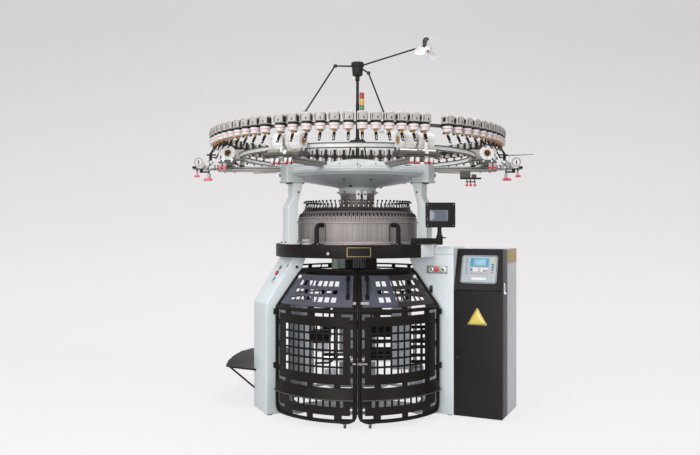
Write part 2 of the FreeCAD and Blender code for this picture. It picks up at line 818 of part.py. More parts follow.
def upright(section, angle, half, flats):
    """A narrow bar laid on the flats of a grille, so that it meets them and no more."""
    ratios = []
    for edge in (angle - half, angle + half):
        for near, far in zip(flats, flats[1:]):
            if near <= edge <= far:
                middle = (near + far) / 2
                ratios.append(math.cos(math.radians(far - middle)) / math.cos(math.radians(edge - middle)))
    ratio = min(ratios)
    return sector([(radius * ratio, height) for radius, height in section], [angle - half, angle + half])


def gate_grille(columns, corners):
    """Window grille, ledge, lower openings and the sloped grille, all on the same flats."""
    first = cell("grille_first")
    last = cell("grille_last")
    pitch = (last - first) / columns
    inner = [first, *(first + pitch * column for column in corners), last]
    whole = [209.7, *inner, 267.2]
    skin = cell("gate_radius") - 4
    thick = 3

    def plate(low, high, stations, depth=0.0):
        """A curved sheet between two heights."""
        out = skin - depth
        return sector([(out - thick, low), (out, low), (out, high), (out - thick, high)], stations)

    low = cell("grille_low")
    high = cell("grille_high")
    bars = [plate(345, low, whole), plate(high, 900, whole),
            plate(low, high, [whole[0], first]), plate(low, high, [last, whole[-1]])]
    rows = int(cell("grille_rows"))
    for row in range(1, rows):
        centre = low + (high - low) * row / rows
        bars.append(plate(centre - 9, centre + 9, inner))
    half = 0.7
    back = skin - thick
    section = [(back - thick, low), (back, low), (back, high), (back - thick, high)]
    for column in range(1, columns):
        bars.append(upright(section, first + column * pitch, half, whole))
    bars.append(sector([(back, 225), (skin + 30, 218), (skin + 32, 222), (skin, 345), (back, 345)], whole))
    bars.append(plate(98, 158, whole))
    section = [(back - thick, 150), (back, 150), (back, 260), (back - thick, 260)]
    for column in range(10):
        bars.append(upright(section, first + column * (last - first) / 9, half, whole))
    return bars + slope_grille([210.3, *inner, 266.6])


def slope_grille(whole):
    """The sloped grille between the seam and the crest of a gate."""
    wide = cell("gate_radius") - 4
    rise = cell("gate_crest") - cell("gate_seam")
    run = cell("gate_radius") - cell("gate_crest_radius")
    length = math.hypot(rise, run)

    def band(low, high, depth=0.0):
        """The section of a strip of the slope, between two shares of its rise."""
        corners = []
        for share, lift in ((low, 0), (low, 3), (high, 3), (high, 0)):
            out = wide - run * share + (lift + depth) * rise / length
            corners.append((out, cell("gate_seam") + rise * share + (lift + depth) * run / length))
        return corners

    inner = whole[1:-1]
    first, last = inner[0], inner[-1]
    bars = [sector(band(0.05, 0.17), whole), sector(band(0.74, 0.89), whole),
            sector(band(0.34, 0.38), inner), sector(band(0.53, 0.57), inner),
            sector(band(0.17, 0.74), [whole[0], first]), sector(band(0.17, 0.74), [last, whole[-1]])]
    for number in range(1, 8):
        bars.append(upright(band(0.15, 0.76, -3), first + number * (last - first) / 8, 0.8, whole))
    return bars


def mirrored(shape):
    """The same shape on the other side of the YZ plane."""
    return shape.mirror(Vector(), Vector(1, 0, 0))


def gates():
    """Left gate and its mirror image, with latch and casters."""
    loop = gate_tube()
    handle = rod(polar(655, 259.5, 1095), polar(611, 259.5, 1150), 7, 6)
    left = gate_grille(10, (3, 7))
    right = [mirrored(shape) for shape in gate_grille(9, (3, 6))]
    front = -cell("gate_radius") - cell("tube_radius") - 4
    edge = 21
    bosses = [rod(Vector(edge, front + 10, height), Vector(edge, front, height), 9, 6)
              for height in (502, 963)]
    catch = block(82, 8, 30, Vector(47, front - 4, 963))
    group("left_gate_frame", [loop, handle])
    group("right_gate_frame", [mirrored(loop).fuse([*bosses, catch]), mirrored(handle)])
    group("left_gate_panel", left)
    group("right_gate_panel", right)
    feature("gate_latch", block(84, 8, 22, Vector(36, front - 4.5, 502)))
    radius = cell("caster_radius")
    for side, name in ((-1, "left"), (1, "right")):
        axle = Vector(side * 97, -cell("gate_radius") + 22, radius)
        feature(f"{name}_caster_wheel", rod(axle - Vector(8, 0, 0), axle + Vector(8, 0, 0), radius, 12))
        crown = block(28, 30, 4, Vector(axle.x, axle.y - 6, 34))
        cheeks = [block(3, 16, 25, Vector(axle.x + step, axle.y, 21.5)) for step in (-10.5, 10.5)]
        feature(f"{name}_caster_fork", crown.fuse(cheeks))


def rear_guards(columns):
    """Two curved guards between the columns at the back, seated on them."""
    solids = []
    rows = ((100, 130, 736), (900, 950, 736), (1165, 1215, 588))
    flats = 4
    for start, stop in ((96, 184), (-4, 84)):
        for low, high, radius in rows:
            section = [(radius, low), (radius + 4, low), (radius + 4, high), (radius, high)]
            bar = sector(section, even(start, stop, flats)).cut(columns)
            solids.append(max(bar.Solids, key=lambda solid: solid.Volume))
        for angle in even(start, stop, flats)[1:-1]:
            path = [polar(727, angle, 100), polar(727, angle, 915), polar(540, angle, 1205)]
            solids.append(tube(path, 6, 4))
    group("rear_guards", solids)


def side_step(leg):
    """Half-round shelf beside the left column, with its strut."""
    outer = cell("leg_outer")
    back = cell("leg_front") - cell("leg_width")
    edge = [beside(LEFT, outer, back + 70), Vector(-1110, 20, 0), Vector(-1158, 80, 0),
            Vector(-1178, 300, 0), Vector(-1174, 560, 0), Vector(-1140, 810, 0), Vector(-1060, 980, 0),
            Vector(-900, 1070, 0), Vector(-640, 1000, 0), beside(LEFT, outer - 150, back),
            beside(LEFT, outer, back)]
    plate = Part.Face(Part.makePolygon(edge + edge[:1])).extrude(Vector(0, 0, 14))
    plate.translate(Vector(0, 0, 322))
    strut = rod(Vector(-1120, 60, 324), beside(LEFT, outer - 14, back + 26, 158), 9, 6).cut(leg)
    feature("side_step", plate.fuse([strut]))


# ---------------------------------------------------------------- drive and take-down

def drive_line():
    """Gear motor with a through shaft in the drive housing, and the pinion at each end of the shaft."""
    spot = beside(RIGHT, cell("shaft_offset"), cell("shaft_depth"))
    pinion = spot.Length - cell("ring_gear_radius") - cell("mesh_gap")
    bottom = cell("shaft_bottom")
    shaft = ngon(12, cell("shaft_radius"), spot + Z_AXIS * bottom, cell("shaft_top") - bottom)
    upper = ngon(16, pinion, spot + Z_AXIS * (cell("cylinder_bottom") + 1), 16)
    lower = ngon(16, pinion, spot + Z_AXIS * (cell("lower_gear_bottom") + 2), 16)
    feature("drive_shaft", shaft.fuse([upper, lower]))
    start = beside(RIGHT, cell("room_inner"), 30, cell("motor_bottom"))
    body = box("motor_case", "182", "240", "motor_height", turned(RIGHT, start))
    bore = prism("motor_bore", 12, "shaft_radius + 1.4", "motor_height",
                 turned(0, spot + Z_AXIS * cell("motor_bottom")))
    publish("drive_motor", cut("motor", body, bore))


def take_down():
    """Turning frame under the cylinder with its ring gear, two draw rollers and the cloth roller."""
    low = cell("lower_gear_bottom")
    plate = prism("take_down_gear", 24, "ring_gear_radius", "lower_gear_height", turned(0, Vector(0, 0, low)))
    top = cell("lower_gear_height") + low - 1
    sides = [box(f"take_down_side_{name}", "60", "260", "1040", turned(0, Vector(start, -130, top)))
             for name, start in (("left", -470), ("right", 410))]
    boxes = [box(f"take_down_box_{name}", "100", "240", "420", turned(0, Vector(start, -120, 330)))
             for name, start in (("left", -411), ("right", 311))]
    beam = box("take_down_beam", "1000", "90", "60", turned(0, Vector(-500, -45, 1110)))
    head = box("take_down_head", "400", "240", "116", turned(0, Vector(-200, -120, 1165)))
    publish("takedown_frame", fuse("take_down_casting", plate, *sides, *boxes, beam, head))
    radius = cell("roller_radius")
    reach = cell("roller_reach")
    rollers = {"front_roller": (radius, -radius - 0.5, 700), "rear_roller": (radius, radius + 0.5, 700),
               "cloth_roller": (radius + 6, 0, 420)}
    for label, (size, across, height) in rollers.items():
        feature(label, rod(Vector(-reach, across, height), Vector(reach, across, height), size, 12))


# ---------------------------------------------------------------- build and write

def build():
    """Make every node in turn, from the floor up."""
    floor_frame()
    left_leg = column("left_leg", LEFT, cell("leg_front") - cell("leg_width"))
    rear_leg = column("rear_leg", REAR, -cell("leg_width") / 2)
    housing = drive_housing()
    machine_bed()
    knitting_head()
    pillars_and_crown()
    ring_work()
    feeders()
    bobbin_units()
    mast_and_blower()
    grab_handles()
    button_stations()
    operator_screen()
    cabinet()
    gates()
    rear_guards([shaped(left_leg), shaped(rear_leg), shaped(housing)])
    side_step(shaped(left_leg))
    drive_line()
    take_down()


def check_and_write():
    """Stop on any failed object, then write one file for each node."""
    doc.recompute()
    for item in doc.Objects:
        if "Invalid" in item.State or "Error" in item.State:
            raise RuntimeError(f"{item.Name} failed: {item.State}")
    os.makedirs("parts", exist_ok=True)
    for label, piece in nodes.items():
        if piece.Shape.isNull() or not piece.Shape.isValid():
            raise RuntimeError(f"{label} has no valid shape")
        piece.Shape.exportStep(f"parts/{label}.step")
    print(f"{len(nodes)} nodes written")


build()
check_and_write()
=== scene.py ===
"""Dressing of a large circular knitting machine: turned parts, feeders, gates, cabinet and blower."""

from __future__ import annotations

import json
import logging
import math
from collections.abc import Callable, Iterable, Sequence
from dataclasses import dataclass, field
from enum import Enum
from typing import Any

import bmesh
import bpy
import numpy as np
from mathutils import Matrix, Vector

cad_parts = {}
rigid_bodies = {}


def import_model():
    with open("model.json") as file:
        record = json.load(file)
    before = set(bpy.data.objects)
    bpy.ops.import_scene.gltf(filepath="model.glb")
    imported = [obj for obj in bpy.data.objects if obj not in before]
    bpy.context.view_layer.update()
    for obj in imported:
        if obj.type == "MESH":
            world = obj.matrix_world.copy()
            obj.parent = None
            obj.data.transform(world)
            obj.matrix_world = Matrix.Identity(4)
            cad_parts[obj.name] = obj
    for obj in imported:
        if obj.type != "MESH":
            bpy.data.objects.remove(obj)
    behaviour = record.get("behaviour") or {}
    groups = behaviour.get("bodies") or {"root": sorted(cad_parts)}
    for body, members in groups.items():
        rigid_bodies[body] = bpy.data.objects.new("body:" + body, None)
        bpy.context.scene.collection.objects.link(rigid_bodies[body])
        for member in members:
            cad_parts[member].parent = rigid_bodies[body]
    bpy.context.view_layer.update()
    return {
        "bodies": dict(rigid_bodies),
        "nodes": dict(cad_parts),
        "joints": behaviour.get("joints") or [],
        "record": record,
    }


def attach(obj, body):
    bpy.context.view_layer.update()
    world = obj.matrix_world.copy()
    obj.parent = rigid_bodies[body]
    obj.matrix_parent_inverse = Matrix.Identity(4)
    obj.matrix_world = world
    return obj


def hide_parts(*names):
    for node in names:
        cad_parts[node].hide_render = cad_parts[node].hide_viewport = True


LOG = logging.getLogger("knitting_machine")
Array = np.ndarray
MM = 0.001
WELD = 1e-3
MERGE, FLAT_ANGLE, EDGE_ANGLE = 0.00002, 0.6, 22.0
LEFT, RIGHT, REAR = 205.0, -25.0, 90.0
COLUMNS = (LEFT, RIGHT, REAR)
ACROSS, TO_EYE = (1, 0, 0), (0, -1, 0)
MIRROR = np.diag([-1.0, 1.0, 1.0, 1.0])
ARM_ANGLES = (242.5, 294.5, 357.0, 57.0, 123.0, 183.0)
FRONT_UNITS, SIDE_UNITS, BACK_UNITS = (242.3, 292.3), (357.0, 183.0), (57.0, 123.0)
UNIT_ANGLES = FRONT_UNITS + SIDE_UNITS + BACK_UNITS


# ---------------------------------------------------------------- places and outlines, in millimetres


def unit(vectors: Array) -> Array:
    """Vectors divided by their lengths."""
    return vectors / np.maximum(np.linalg.norm(vectors, axis=-1, keepdims=True), 1e-12)


def polar(radius: Any, degrees: Any, height: Any) -> Array:
    """Points at x = r cos a, y = r sin a, z = h.

    Args:
        radius: One radius or an array of them.
        degrees: Angles from +X towards +Y.
        height: Heights above the floor.

    Returns:
        Points, one row each.
    """
    radius, degrees, height = np.broadcast_arrays(radius, degrees, height)
    angle = np.radians(degrees)
    return np.stack([radius * np.cos(angle), radius * np.sin(angle), height], -1).astype(float)


def beside(angle: float, out: float, across: float, height: float = 0.0) -> Array:
    """A point measured outwards and crosswise from a column's own direction."""
    turn = math.radians(angle)
    return np.array([out * math.cos(turn) - across * math.sin(turn),
                     out * math.sin(turn) + across * math.cos(turn), height])


def moved(x: float = 0.0, y: float = 0.0, z: float = 0.0) -> Array:
    """A 4 x 4 shift."""
    matrix = np.eye(4)
    matrix[:3, 3] = (x, y, z)
    return matrix


def turned(degrees: float, axis: str = "z") -> Array:
    """A 4 x 4 turn about one axis through the origin."""
    first, second = {"x": (1, 2), "y": (2, 0), "z": (0, 1)}[axis]
    cosine, sine = math.cos(math.radians(degrees)), math.sin(math.radians(degrees))
    matrix = np.eye(4)
    matrix[first, first] = matrix[second, second] = cosine
    matrix[second, first], matrix[first, second] = sine, -sine
    return matrix


def seated(origin: Array, along: Array, facing: Array) -> Array:
    """A 4 x 4 place whose X runs along and whose Z faces outwards.

    Args:
        origin: Where the local origin goes.
        along: Direction of local X.
        facing: Direction of local Z.

    Returns:
        The matrix.
    """
    z_axis = unit(np.asarray(facing, float))
    x_axis = unit(np.asarray(along, float) - np.dot(along, z_axis) * z_axis)
    matrix = np.eye(4)
    matrix[:3, 0], matrix[:3, 1], matrix[:3, 2] = x_axis, np.cross(z_axis, x_axis), z_axis
    matrix[:3, 3] = origin
    return matrix


def facing_eye(x: float, y: float, z: float) -> Array:
    """A 4 x 4 place whose X runs to the right and whose Z faces the photograph's eye."""
    return seated(np.array([x, y, z], float), ACROSS, TO_EYE)


def facing_out(x: float, y: float, z: float) -> Array:
    """A 4 x 4 place whose X runs upwards and whose Z points along +X, outwards from the machine's axis."""
    return seated(np.array([x, y, z], float), (0, 0, 1), (1, 0, 0))


def on_housing(out: float, across: float, height: float) -> Array:
    """A 4 x 4 place on the front of the drive housing and the cabinet, whose Z faces forwards."""
    return seated(beside(RIGHT, out, across, height), beside(RIGHT, 1, 0), beside(RIGHT, 0, -1))


def on_slope(share: float, across: float) -> Array:
    """A 4 x 4 place on the left column's front slope, at a share of the way up it and shifted crosswise."""
    low, high = beside(LEFT, 831, 0, 915), beside(LEFT, 590, 0, 1303)
    along = unit(high - low)
    facing = np.cross(along, beside(LEFT, 0, 1))
    facing = facing if facing[2] > 0 else -facing
    return seated(low + (high - low) * share + beside(LEFT, 0, across), along, facing)


def between_columns(step: int, gap: float) -> list[int]:
    """Angles in even steps that keep more than a gap away from every column."""
    return [angle for angle in range(0, 360, step)
            if min(abs((angle - column + 180) % 360 - 180) for column in COLUMNS) > gap]


def spokes(angles: Iterable[float]) -> Array:
    """One turn about Z for each angle."""
    return np.stack([turned(angle) for angle in angles])


def rounded(corners: Any, cut: Any, steps: int = 3, closed: bool = True) -> Array:
    """Each corner becomes a quadratic curve from one cut point to the next.

    Args:
        corners: Points of the outline.
        cut: How far from the corner the curve starts, for all corners or for each.
        steps: Pieces of each curve.
        closed: Whether the last point joins the first.

    Returns:
        The points of the rounded outline.
    """
    corners = np.asarray(corners, float)
    reach = np.broadcast_to(np.asarray(cut, float), len(corners))[:, None]

    def towards(other: Array) -> Array:
        """The cut point on the edge to the other corner."""
        run = other - corners
        length = np.maximum(np.linalg.norm(run, axis=1, keepdims=True), 1e-9)
        return (corners + run / length * np.minimum(reach, 0.46 * length))[:, None]

    share = np.linspace(0, 1, steps + 1)[None, :, None]
    start, stop = towards(np.roll(corners, 1, 0)), towards(np.roll(corners, -1, 0))
    bends = (1 - share) ** 2 * start + 2 * share * (1 - share) * corners[:, None] + share**2 * stop
    if closed:
        return bends.reshape(-1, corners.shape[1])
    return np.vstack([corners[:1], bends[1:-1].reshape(-1, corners.shape[1]), corners[-1:]])


def resampled(path: Array, step: float, closed: bool = False) -> Array:
    """The same line with points at even spacing, worked out along its length."""
    if closed:
        path = np.vstack([path, path[:1]])
    reach = np.r_[0, np.cumsum(np.linalg.norm(np.diff(path, axis=0), axis=1))]
    stations = np.linspace(0, reach[-1], max(3, math.ceil(reach[-1] / step) + 1))
    line = np.stack([np.interp(stations, reach, path[:, axis]) for axis in range(path.shape[1])], -1)
    return line[:-1] if closed else line


def rectangle(width: float, depth: float, corner: float, steps: int = 3) -> Array:
    """A centred rounded rectangle as (x, y) points."""
    x, y = width / 2, depth / 2
    return rounded([(-x, -y), (x, -y), (x, y), (-x, y)], corner * 1.2, steps)


# ---------------------------------------------------------------- surfaces


@dataclass
class Surface:
    """Corners and faces in millimetres, with each corner's place in the piece's own frame."""

    points: Array
    quads: Array = field(default_factory=lambda: np.zeros((0, 4), int))
    tris: Array = field(default_factory=lambda: np.zeros((0, 3), int))
    own: Array | None = None

    @classmethod
    def grid(cls, points: Array, wrap_rows: bool = False, wrap_cols: bool = False) -> Surface:
        """Four-cornered faces between the neighbours of a rows x columns array of points."""
        rows, cols = points.shape[:2]
        index = np.arange(rows * cols).reshape(rows, cols)
        index = np.vstack([index, index[:1]]) if wrap_rows else index
        index = np.hstack([index, index[:, :1]]) if wrap_cols else index
        faces = np.stack([index[:-1, :-1], index[:-1, 1:], index[1:, 1:], index[1:, :-1]], -1)
        return cls(points.reshape(-1, 3).astype(float), faces.reshape(-1, 4))

    @classmethod
    def loft(cls, rings: Array, closed: bool = False) -> Surface:
        """Skin through equal rings of points, with a fan of triangles over each end unless closed."""
        rings = np.asarray(rings, float)
        body = cls.grid(rings, closed, True)
        if not closed:
            count, total = rings.shape[1], len(body.points)
            around = np.arange(count)
            after = (around + 1) % count
            last = total - count
            body.points = np.vstack([body.points, rings[0].mean(0), rings[-1].mean(0)])
            body.tris = np.vstack([np.stack([np.full(count, total), after, around], -1),
                                   np.stack([np.full(count, total + 1), last + around, last + after], -1)])
        return body.outward().marked()

    def triangles(self) -> Array:
        """Every face as triangles."""
        return np.vstack([self.tris, self.quads[:, [0, 1, 2]], self.quads[:, [0, 2, 3]]])

    def outward(self) -> Surface:
        """Faces turned so that the volume they enclose, a sum of a . (b x c), is positive."""
        centred = self.points - self.points.mean(0)
        a, b, c = (centred[self.triangles()[:, corner]] for corner in range(3))
        return self.flipped() if np.einsum("ij,ij->", a, np.cross(b, c)) < 0 else self

    def flipped(self) -> Surface:
        """The same faces seen from the other side."""
        return Surface(self.points, self.quads[:, ::-1], self.tris[:, ::-1], self.own)

    def marked(self) -> Surface:
        """Keeps the present place of every corner as its place in the piece's own frame."""
        return Surface(self.points, self.quads, self.tris, self.points.copy())

    def welded(self) -> Surface:
        """Corners at one place become one, and faces that lose a corner become triangles."""
        _, first, index = np.unique(np.round(self.points / WELD).astype(np.int64), axis=0,
                                    return_index=True, return_inverse=True)
        index = index.reshape(-1)
        quads, tris = index[self.quads], index[self.tris]
        same = quads == np.roll(quads, -1, axis=1)
        whole = ~same.any(1)
        kept = np.array([[1, 2, 3], [0, 2, 3], [0, 1, 3], [0, 1, 2]])
        spoiled = quads[~whole]
        cut = spoiled[np.arange(len(spoiled))[:, None], kept[same[~whole].argmax(1)]]
        tris = np.vstack([tris, cut])
        tris = tris[(tris != np.roll(tris, -1, axis=1)).all(1)]
        own = None if self.own is None else self.own[first]
        return Surface(self.points[first], quads[whole], tris, own)

    def placed(self, matrix: Array) -> Surface:
        """The surface carried by a 4 x 4 matrix."""
        points = self.points @ matrix[:3, :3].T + matrix[:3, 3]
        carried = Surface(points, self.quads, self.tris, self.own)
        return carried.flipped() if np.linalg.det(matrix[:3, :3]) < 0 else carried

    def repeated(self, matrices: Array) -> Surface:
        """One copy of the surface for each 4 x 4 matrix."""
        count = len(matrices)
        points = np.einsum("kij,nj->kni", matrices[:, :3, :3], self.points) + matrices[:, None, :3, 3]
        step = np.arange(count)[:, None, None] * len(self.points)
        return Surface(points.reshape(-1, 3), (self.quads[None] + step).reshape(-1, 4),
                       (self.tris[None] + step).reshape(-1, 3), np.tile(self.own, (count, 1)))

    def around(self, angles: Iterable[float]) -> Surface:
        """One copy turned about the machine's axis for each angle."""
        return self.repeated(spokes(angles))

    @staticmethod
    def joined(parts: Sequence[Surface]) -> Surface:
        """Several surfaces as one."""
        starts = np.cumsum([0] + [len(part.points) for part in parts[:-1]])
        return Surface(np.vstack([part.points for part in parts]),
                       np.vstack([part.quads + start for part, start in zip(parts, starts)]),
                       np.vstack([part.tris + start for part, start in zip(parts, starts)]),
                       np.vstack([part.own for part in parts]))


def lathe(profile: Any, start: float = 0.0, stop: float = 360.0, sides: int = 96) -> Surface:
    """A closed section of (radius, height) points turned about Z from one angle to another."""
    profile = np.asarray(profile, float)
    whole = stop - start > 359.9
    angles = np.linspace(start, stop, sides + 1)[: sides if whole else sides + 1]
    return Surface.loft(polar(profile[None, :, 0], angles[:, None], profile[None, :, 1]), whole).welded()


def oblong(inner: float, outer: float, low: float, high: float) -> list[tuple[float, float]]:
    """The four corners of a section from one radius to another and from one height to another."""
    return [(inner, low), (outer, low), (outer, high), (inner, high)]


def spun(profile: Any, cut: Any, steps: int, sides: int) -> Surface:
    """A whole turned part whose section has rounded corners."""
    return lathe(rounded(profile, cut, steps), sides=sides)


def ringed(parts: Sequence[Surface], angles: Iterable[float]) -> Surface:
    """Several surfaces as one, with a copy about the machine's axis for each angle."""
    return Surface.joined(list(parts)).around(angles)


def flat_sheet(u: Array, v: Array, w: Array) -> Array:
    """The plain place of a sheet's three parameters."""
    return np.stack([u, v, w], -1)


def slab(width: float, depth: float, height: float, corner: float = 3.0, edge: float = 1.5,
         steps: int = 2) -> Surface:
    """An upright block on the middle of its base: a rounded rectangle, drawn in by a quarter round at its ends.

    Args:
        width: Size along X.
        depth: Size along Y.
        height: Size along Z.
        corner: Radius of the upright corners.
        edge: Radius of the top and bottom edges.
        steps: Pieces of each round.

    Returns:
        The block.
    """
    turn = np.linspace(0, np.pi / 2, steps + 1)
    inset, lift = edge * (1 - np.sin(turn)), edge * (1 - np.cos(turn))
    insets, heights = np.r_[inset, inset[::-1]], np.r_[lift, height - lift[::-1]]
    flat = np.stack([rectangle(width - 2 * inset, depth - 2 * inset, max(corner - inset, 0.2), steps)
                     for inset in insets])
    lifts = np.broadcast_to(heights[:, None, None], (*flat.shape[:2], 1))
    return Surface.loft(np.concatenate([flat, lifts], -1))


def bar(length: float, width: float, height: float, centre: Any, angle: float = 0.0, corner: float = 2.0,
        edge: float = 1.2) -> Surface:
    """A block about its centre, turned about Z."""
    block = slab(length, width, height, corner, edge).placed(moved(0, 0, -height / 2))
    return block.placed(moved(*centre) @ turned(angle))


def pipe(path: Any, radius: Any, sides: int = 12, closed: bool = False, reference: Any = None) -> Surface:
    """Circles of one or several radii carried square to a path.

    Args:
        path: Points of the centre line.
        radius: Radius, or one for each point.
        sides: Corners of each circle.
        closed: Whether the path returns to its start.
        reference: A direction that no part of the path runs along, or one for each point.

    Returns:
        The bar.
    """
    path = np.asarray(path, float)
    ahead, behind = np.roll(path, -1, 0), np.roll(path, 1, 0)
    if not closed:
        ahead[-1], behind[0] = path[-1], path[0]
    tangent = unit(ahead - behind)
    if reference is None:
        reference = np.linalg.svd(path - path.mean(0))[2][-1]
    reference = np.broadcast_to(reference, path.shape)
    across = unit(reference - (reference * tangent).sum(1, keepdims=True) * tangent)
    up = np.cross(tangent, across)
    turn = np.linspace(0, 2 * np.pi, sides, endpoint=False)[None, :, None]
    size = np.broadcast_to(np.asarray(radius, float), len(path))[:, None, None]
    return Surface.loft(path[:, None] + size * (np.cos(turn) * across[:, None] + np.sin(turn) * up[:, None]),
                        closed)


def perforated(us: Any, vs: Any, holes: Sequence[tuple[float, float, float, float]], thickness: float,
               place: Callable[[Array, Array, Array], Array], reach: float = 2.0, rise: float = 60.0) -> Surface:
    """A sheet with rectangular openings: cells between break lines, left out where a hole covers their middle.

    Args:
        us: Lowest and highest first parameter.
        vs: Lowest and highest second parameter.
        holes: Openings as (low u, high u, low v, high v).
        thickness: Thickness, along the third parameter.
        place: Points from arrays of the three parameters.
        reach: Widest cell in u.
        rise: Widest cell in v.

    Returns:
        The closed sheet.
    """
    def breaks(span: Sequence[float], edges: list[float], widest: float) -> Array:
        """Edges of the openings, and more lines between those that are far apart."""
        lines = np.unique(np.round(np.clip([*span, *edges], *span), 4))
        counts = np.maximum(1, np.ceil(np.diff(lines) / widest)).astype(int)
        return np.concatenate([np.linspace(low, high, count, endpoint=False) for low, high, count
                               in zip(lines, lines[1:], counts)] + [lines[-1:]])

    u = breaks(us, [edge for hole in holes for edge in hole[:2]], reach)
    v = breaks(vs, [edge for hole in holes for edge in hole[2:]], rise)
    middle_u, middle_v = np.meshgrid((u[:-1] + u[1:]) / 2, (v[:-1] + v[1:]) / 2, indexing="ij")
    solid = np.ones(middle_u.shape, bool)
    for low_u, high_u, low_v, high_v in holes:
        solid &= ~((middle_u > low_u) & (middle_u < high_u) & (middle_v > low_v) & (middle_v < high_v))
    grid_u, grid_v = np.meshgrid(u, v, indexing="ij")
    sheets = [place(grid_u, grid_v, np.full(grid_u.shape, depth)).reshape(-1, 3) for depth in (thickness, 0.0)]
    front = np.arange(grid_u.size).reshape(grid_u.shape)
    back = front + grid_u.size
    cells = np.stack([front[:-1, :-1], front[1:, :-1], front[1:, 1:], front[:-1, 1:]], -1)[solid]
    under = np.stack([back[:-1, :-1], back[:-1, 1:], back[1:, 1:], back[1:, :-1]], -1)[solid]
    padded = np.pad(solid, 1)
    low_u, high_u = solid & ~padded[:-2, 1:-1], solid & ~padded[2:, 1:-1]
    low_v, high_v = solid & ~padded[1:-1, :-2], solid & ~padded[1:-1, 2:]
    walls = [
        np.stack([back[:-1, :-1], front[:-1, :-1], front[:-1, 1:], back[:-1, 1:]], -1)[low_u],
        np.stack([front[1:, :-1], back[1:, :-1], back[1:, 1:], front[1:, 1:]], -1)[high_u],
        np.stack([front[:-1, :-1], back[:-1, :-1], back[1:, :-1], front[1:, :-1]], -1)[low_v],
        np.stack([back[:-1, 1:], front[:-1, 1:], front[1:, 1:], back[1:, 1:]], -1)[high_v],
    ]
    faces = np.vstack([cells, under, *walls])
    used, index = np.unique(faces, return_inverse=True)
    points = np.vstack(sheets)[used]
    return Surface(points, index.reshape(-1, 4)).outward().marked()


def hex_bolt(radius: float, height: float) -> Surface:
    """A six-sided head on a washer, standing on its base."""
    angles = np.arange(6) * 60.0
    rings = np.stack([polar(radius * share, angles, level) for share, level
                      in ((1, 0.8), (1, height * 0.85), (0.85, height))])
    washer = lathe(oblong(0, radius * 1.25, 0, 0.8), sides=12)
    return Surface.joined([Surface.loft(rings), washer])


# ---------------------------------------------------------------- shader graph


@dataclass
class Socket:
    """A shader output that takes part in Python arithmetic, each operator adding one Math node."""

    graph: Graph
    output: bpy.types.NodeSocket

    def maths(self, operation: str, first: Any, second: Any = 0.0) -> Socket:
        """The result of one Math node."""
        return self.graph.node("ShaderNodeMath", {"operation": operation}, {0: first, 1: second})

    def __add__(self, other: Any) -> Socket:
        """Sum."""
        return self.maths("ADD", self, other)

    def __sub__(self, other: Any) -> Socket:
        """Difference."""
        return self.maths("SUBTRACT", self, other)

    def __rsub__(self, other: Any) -> Socket:
        """Difference from a number."""
        return self.maths("SUBTRACT", other, self)

    def __mul__(self, other: Any) -> Socket:
        """Product."""
        return self.maths("MULTIPLY", self, other)

    def __truediv__(self, other: Any) -> Socket:
        """Quotient."""
        return self.maths("DIVIDE", self, other)

    def power(self, exponent: float) -> Socket:
        """The value raised to a power."""
        return self.maths("POWER", self, exponent)

    def sine(self) -> Socket:
        """Its sine."""
        return self.maths("SINE", self)

    def held(self) -> Socket:
        """The value held between 0 and 1."""
        return self.maths("MAXIMUM", self.maths("MINIMUM", self, 1.0), 0.0)


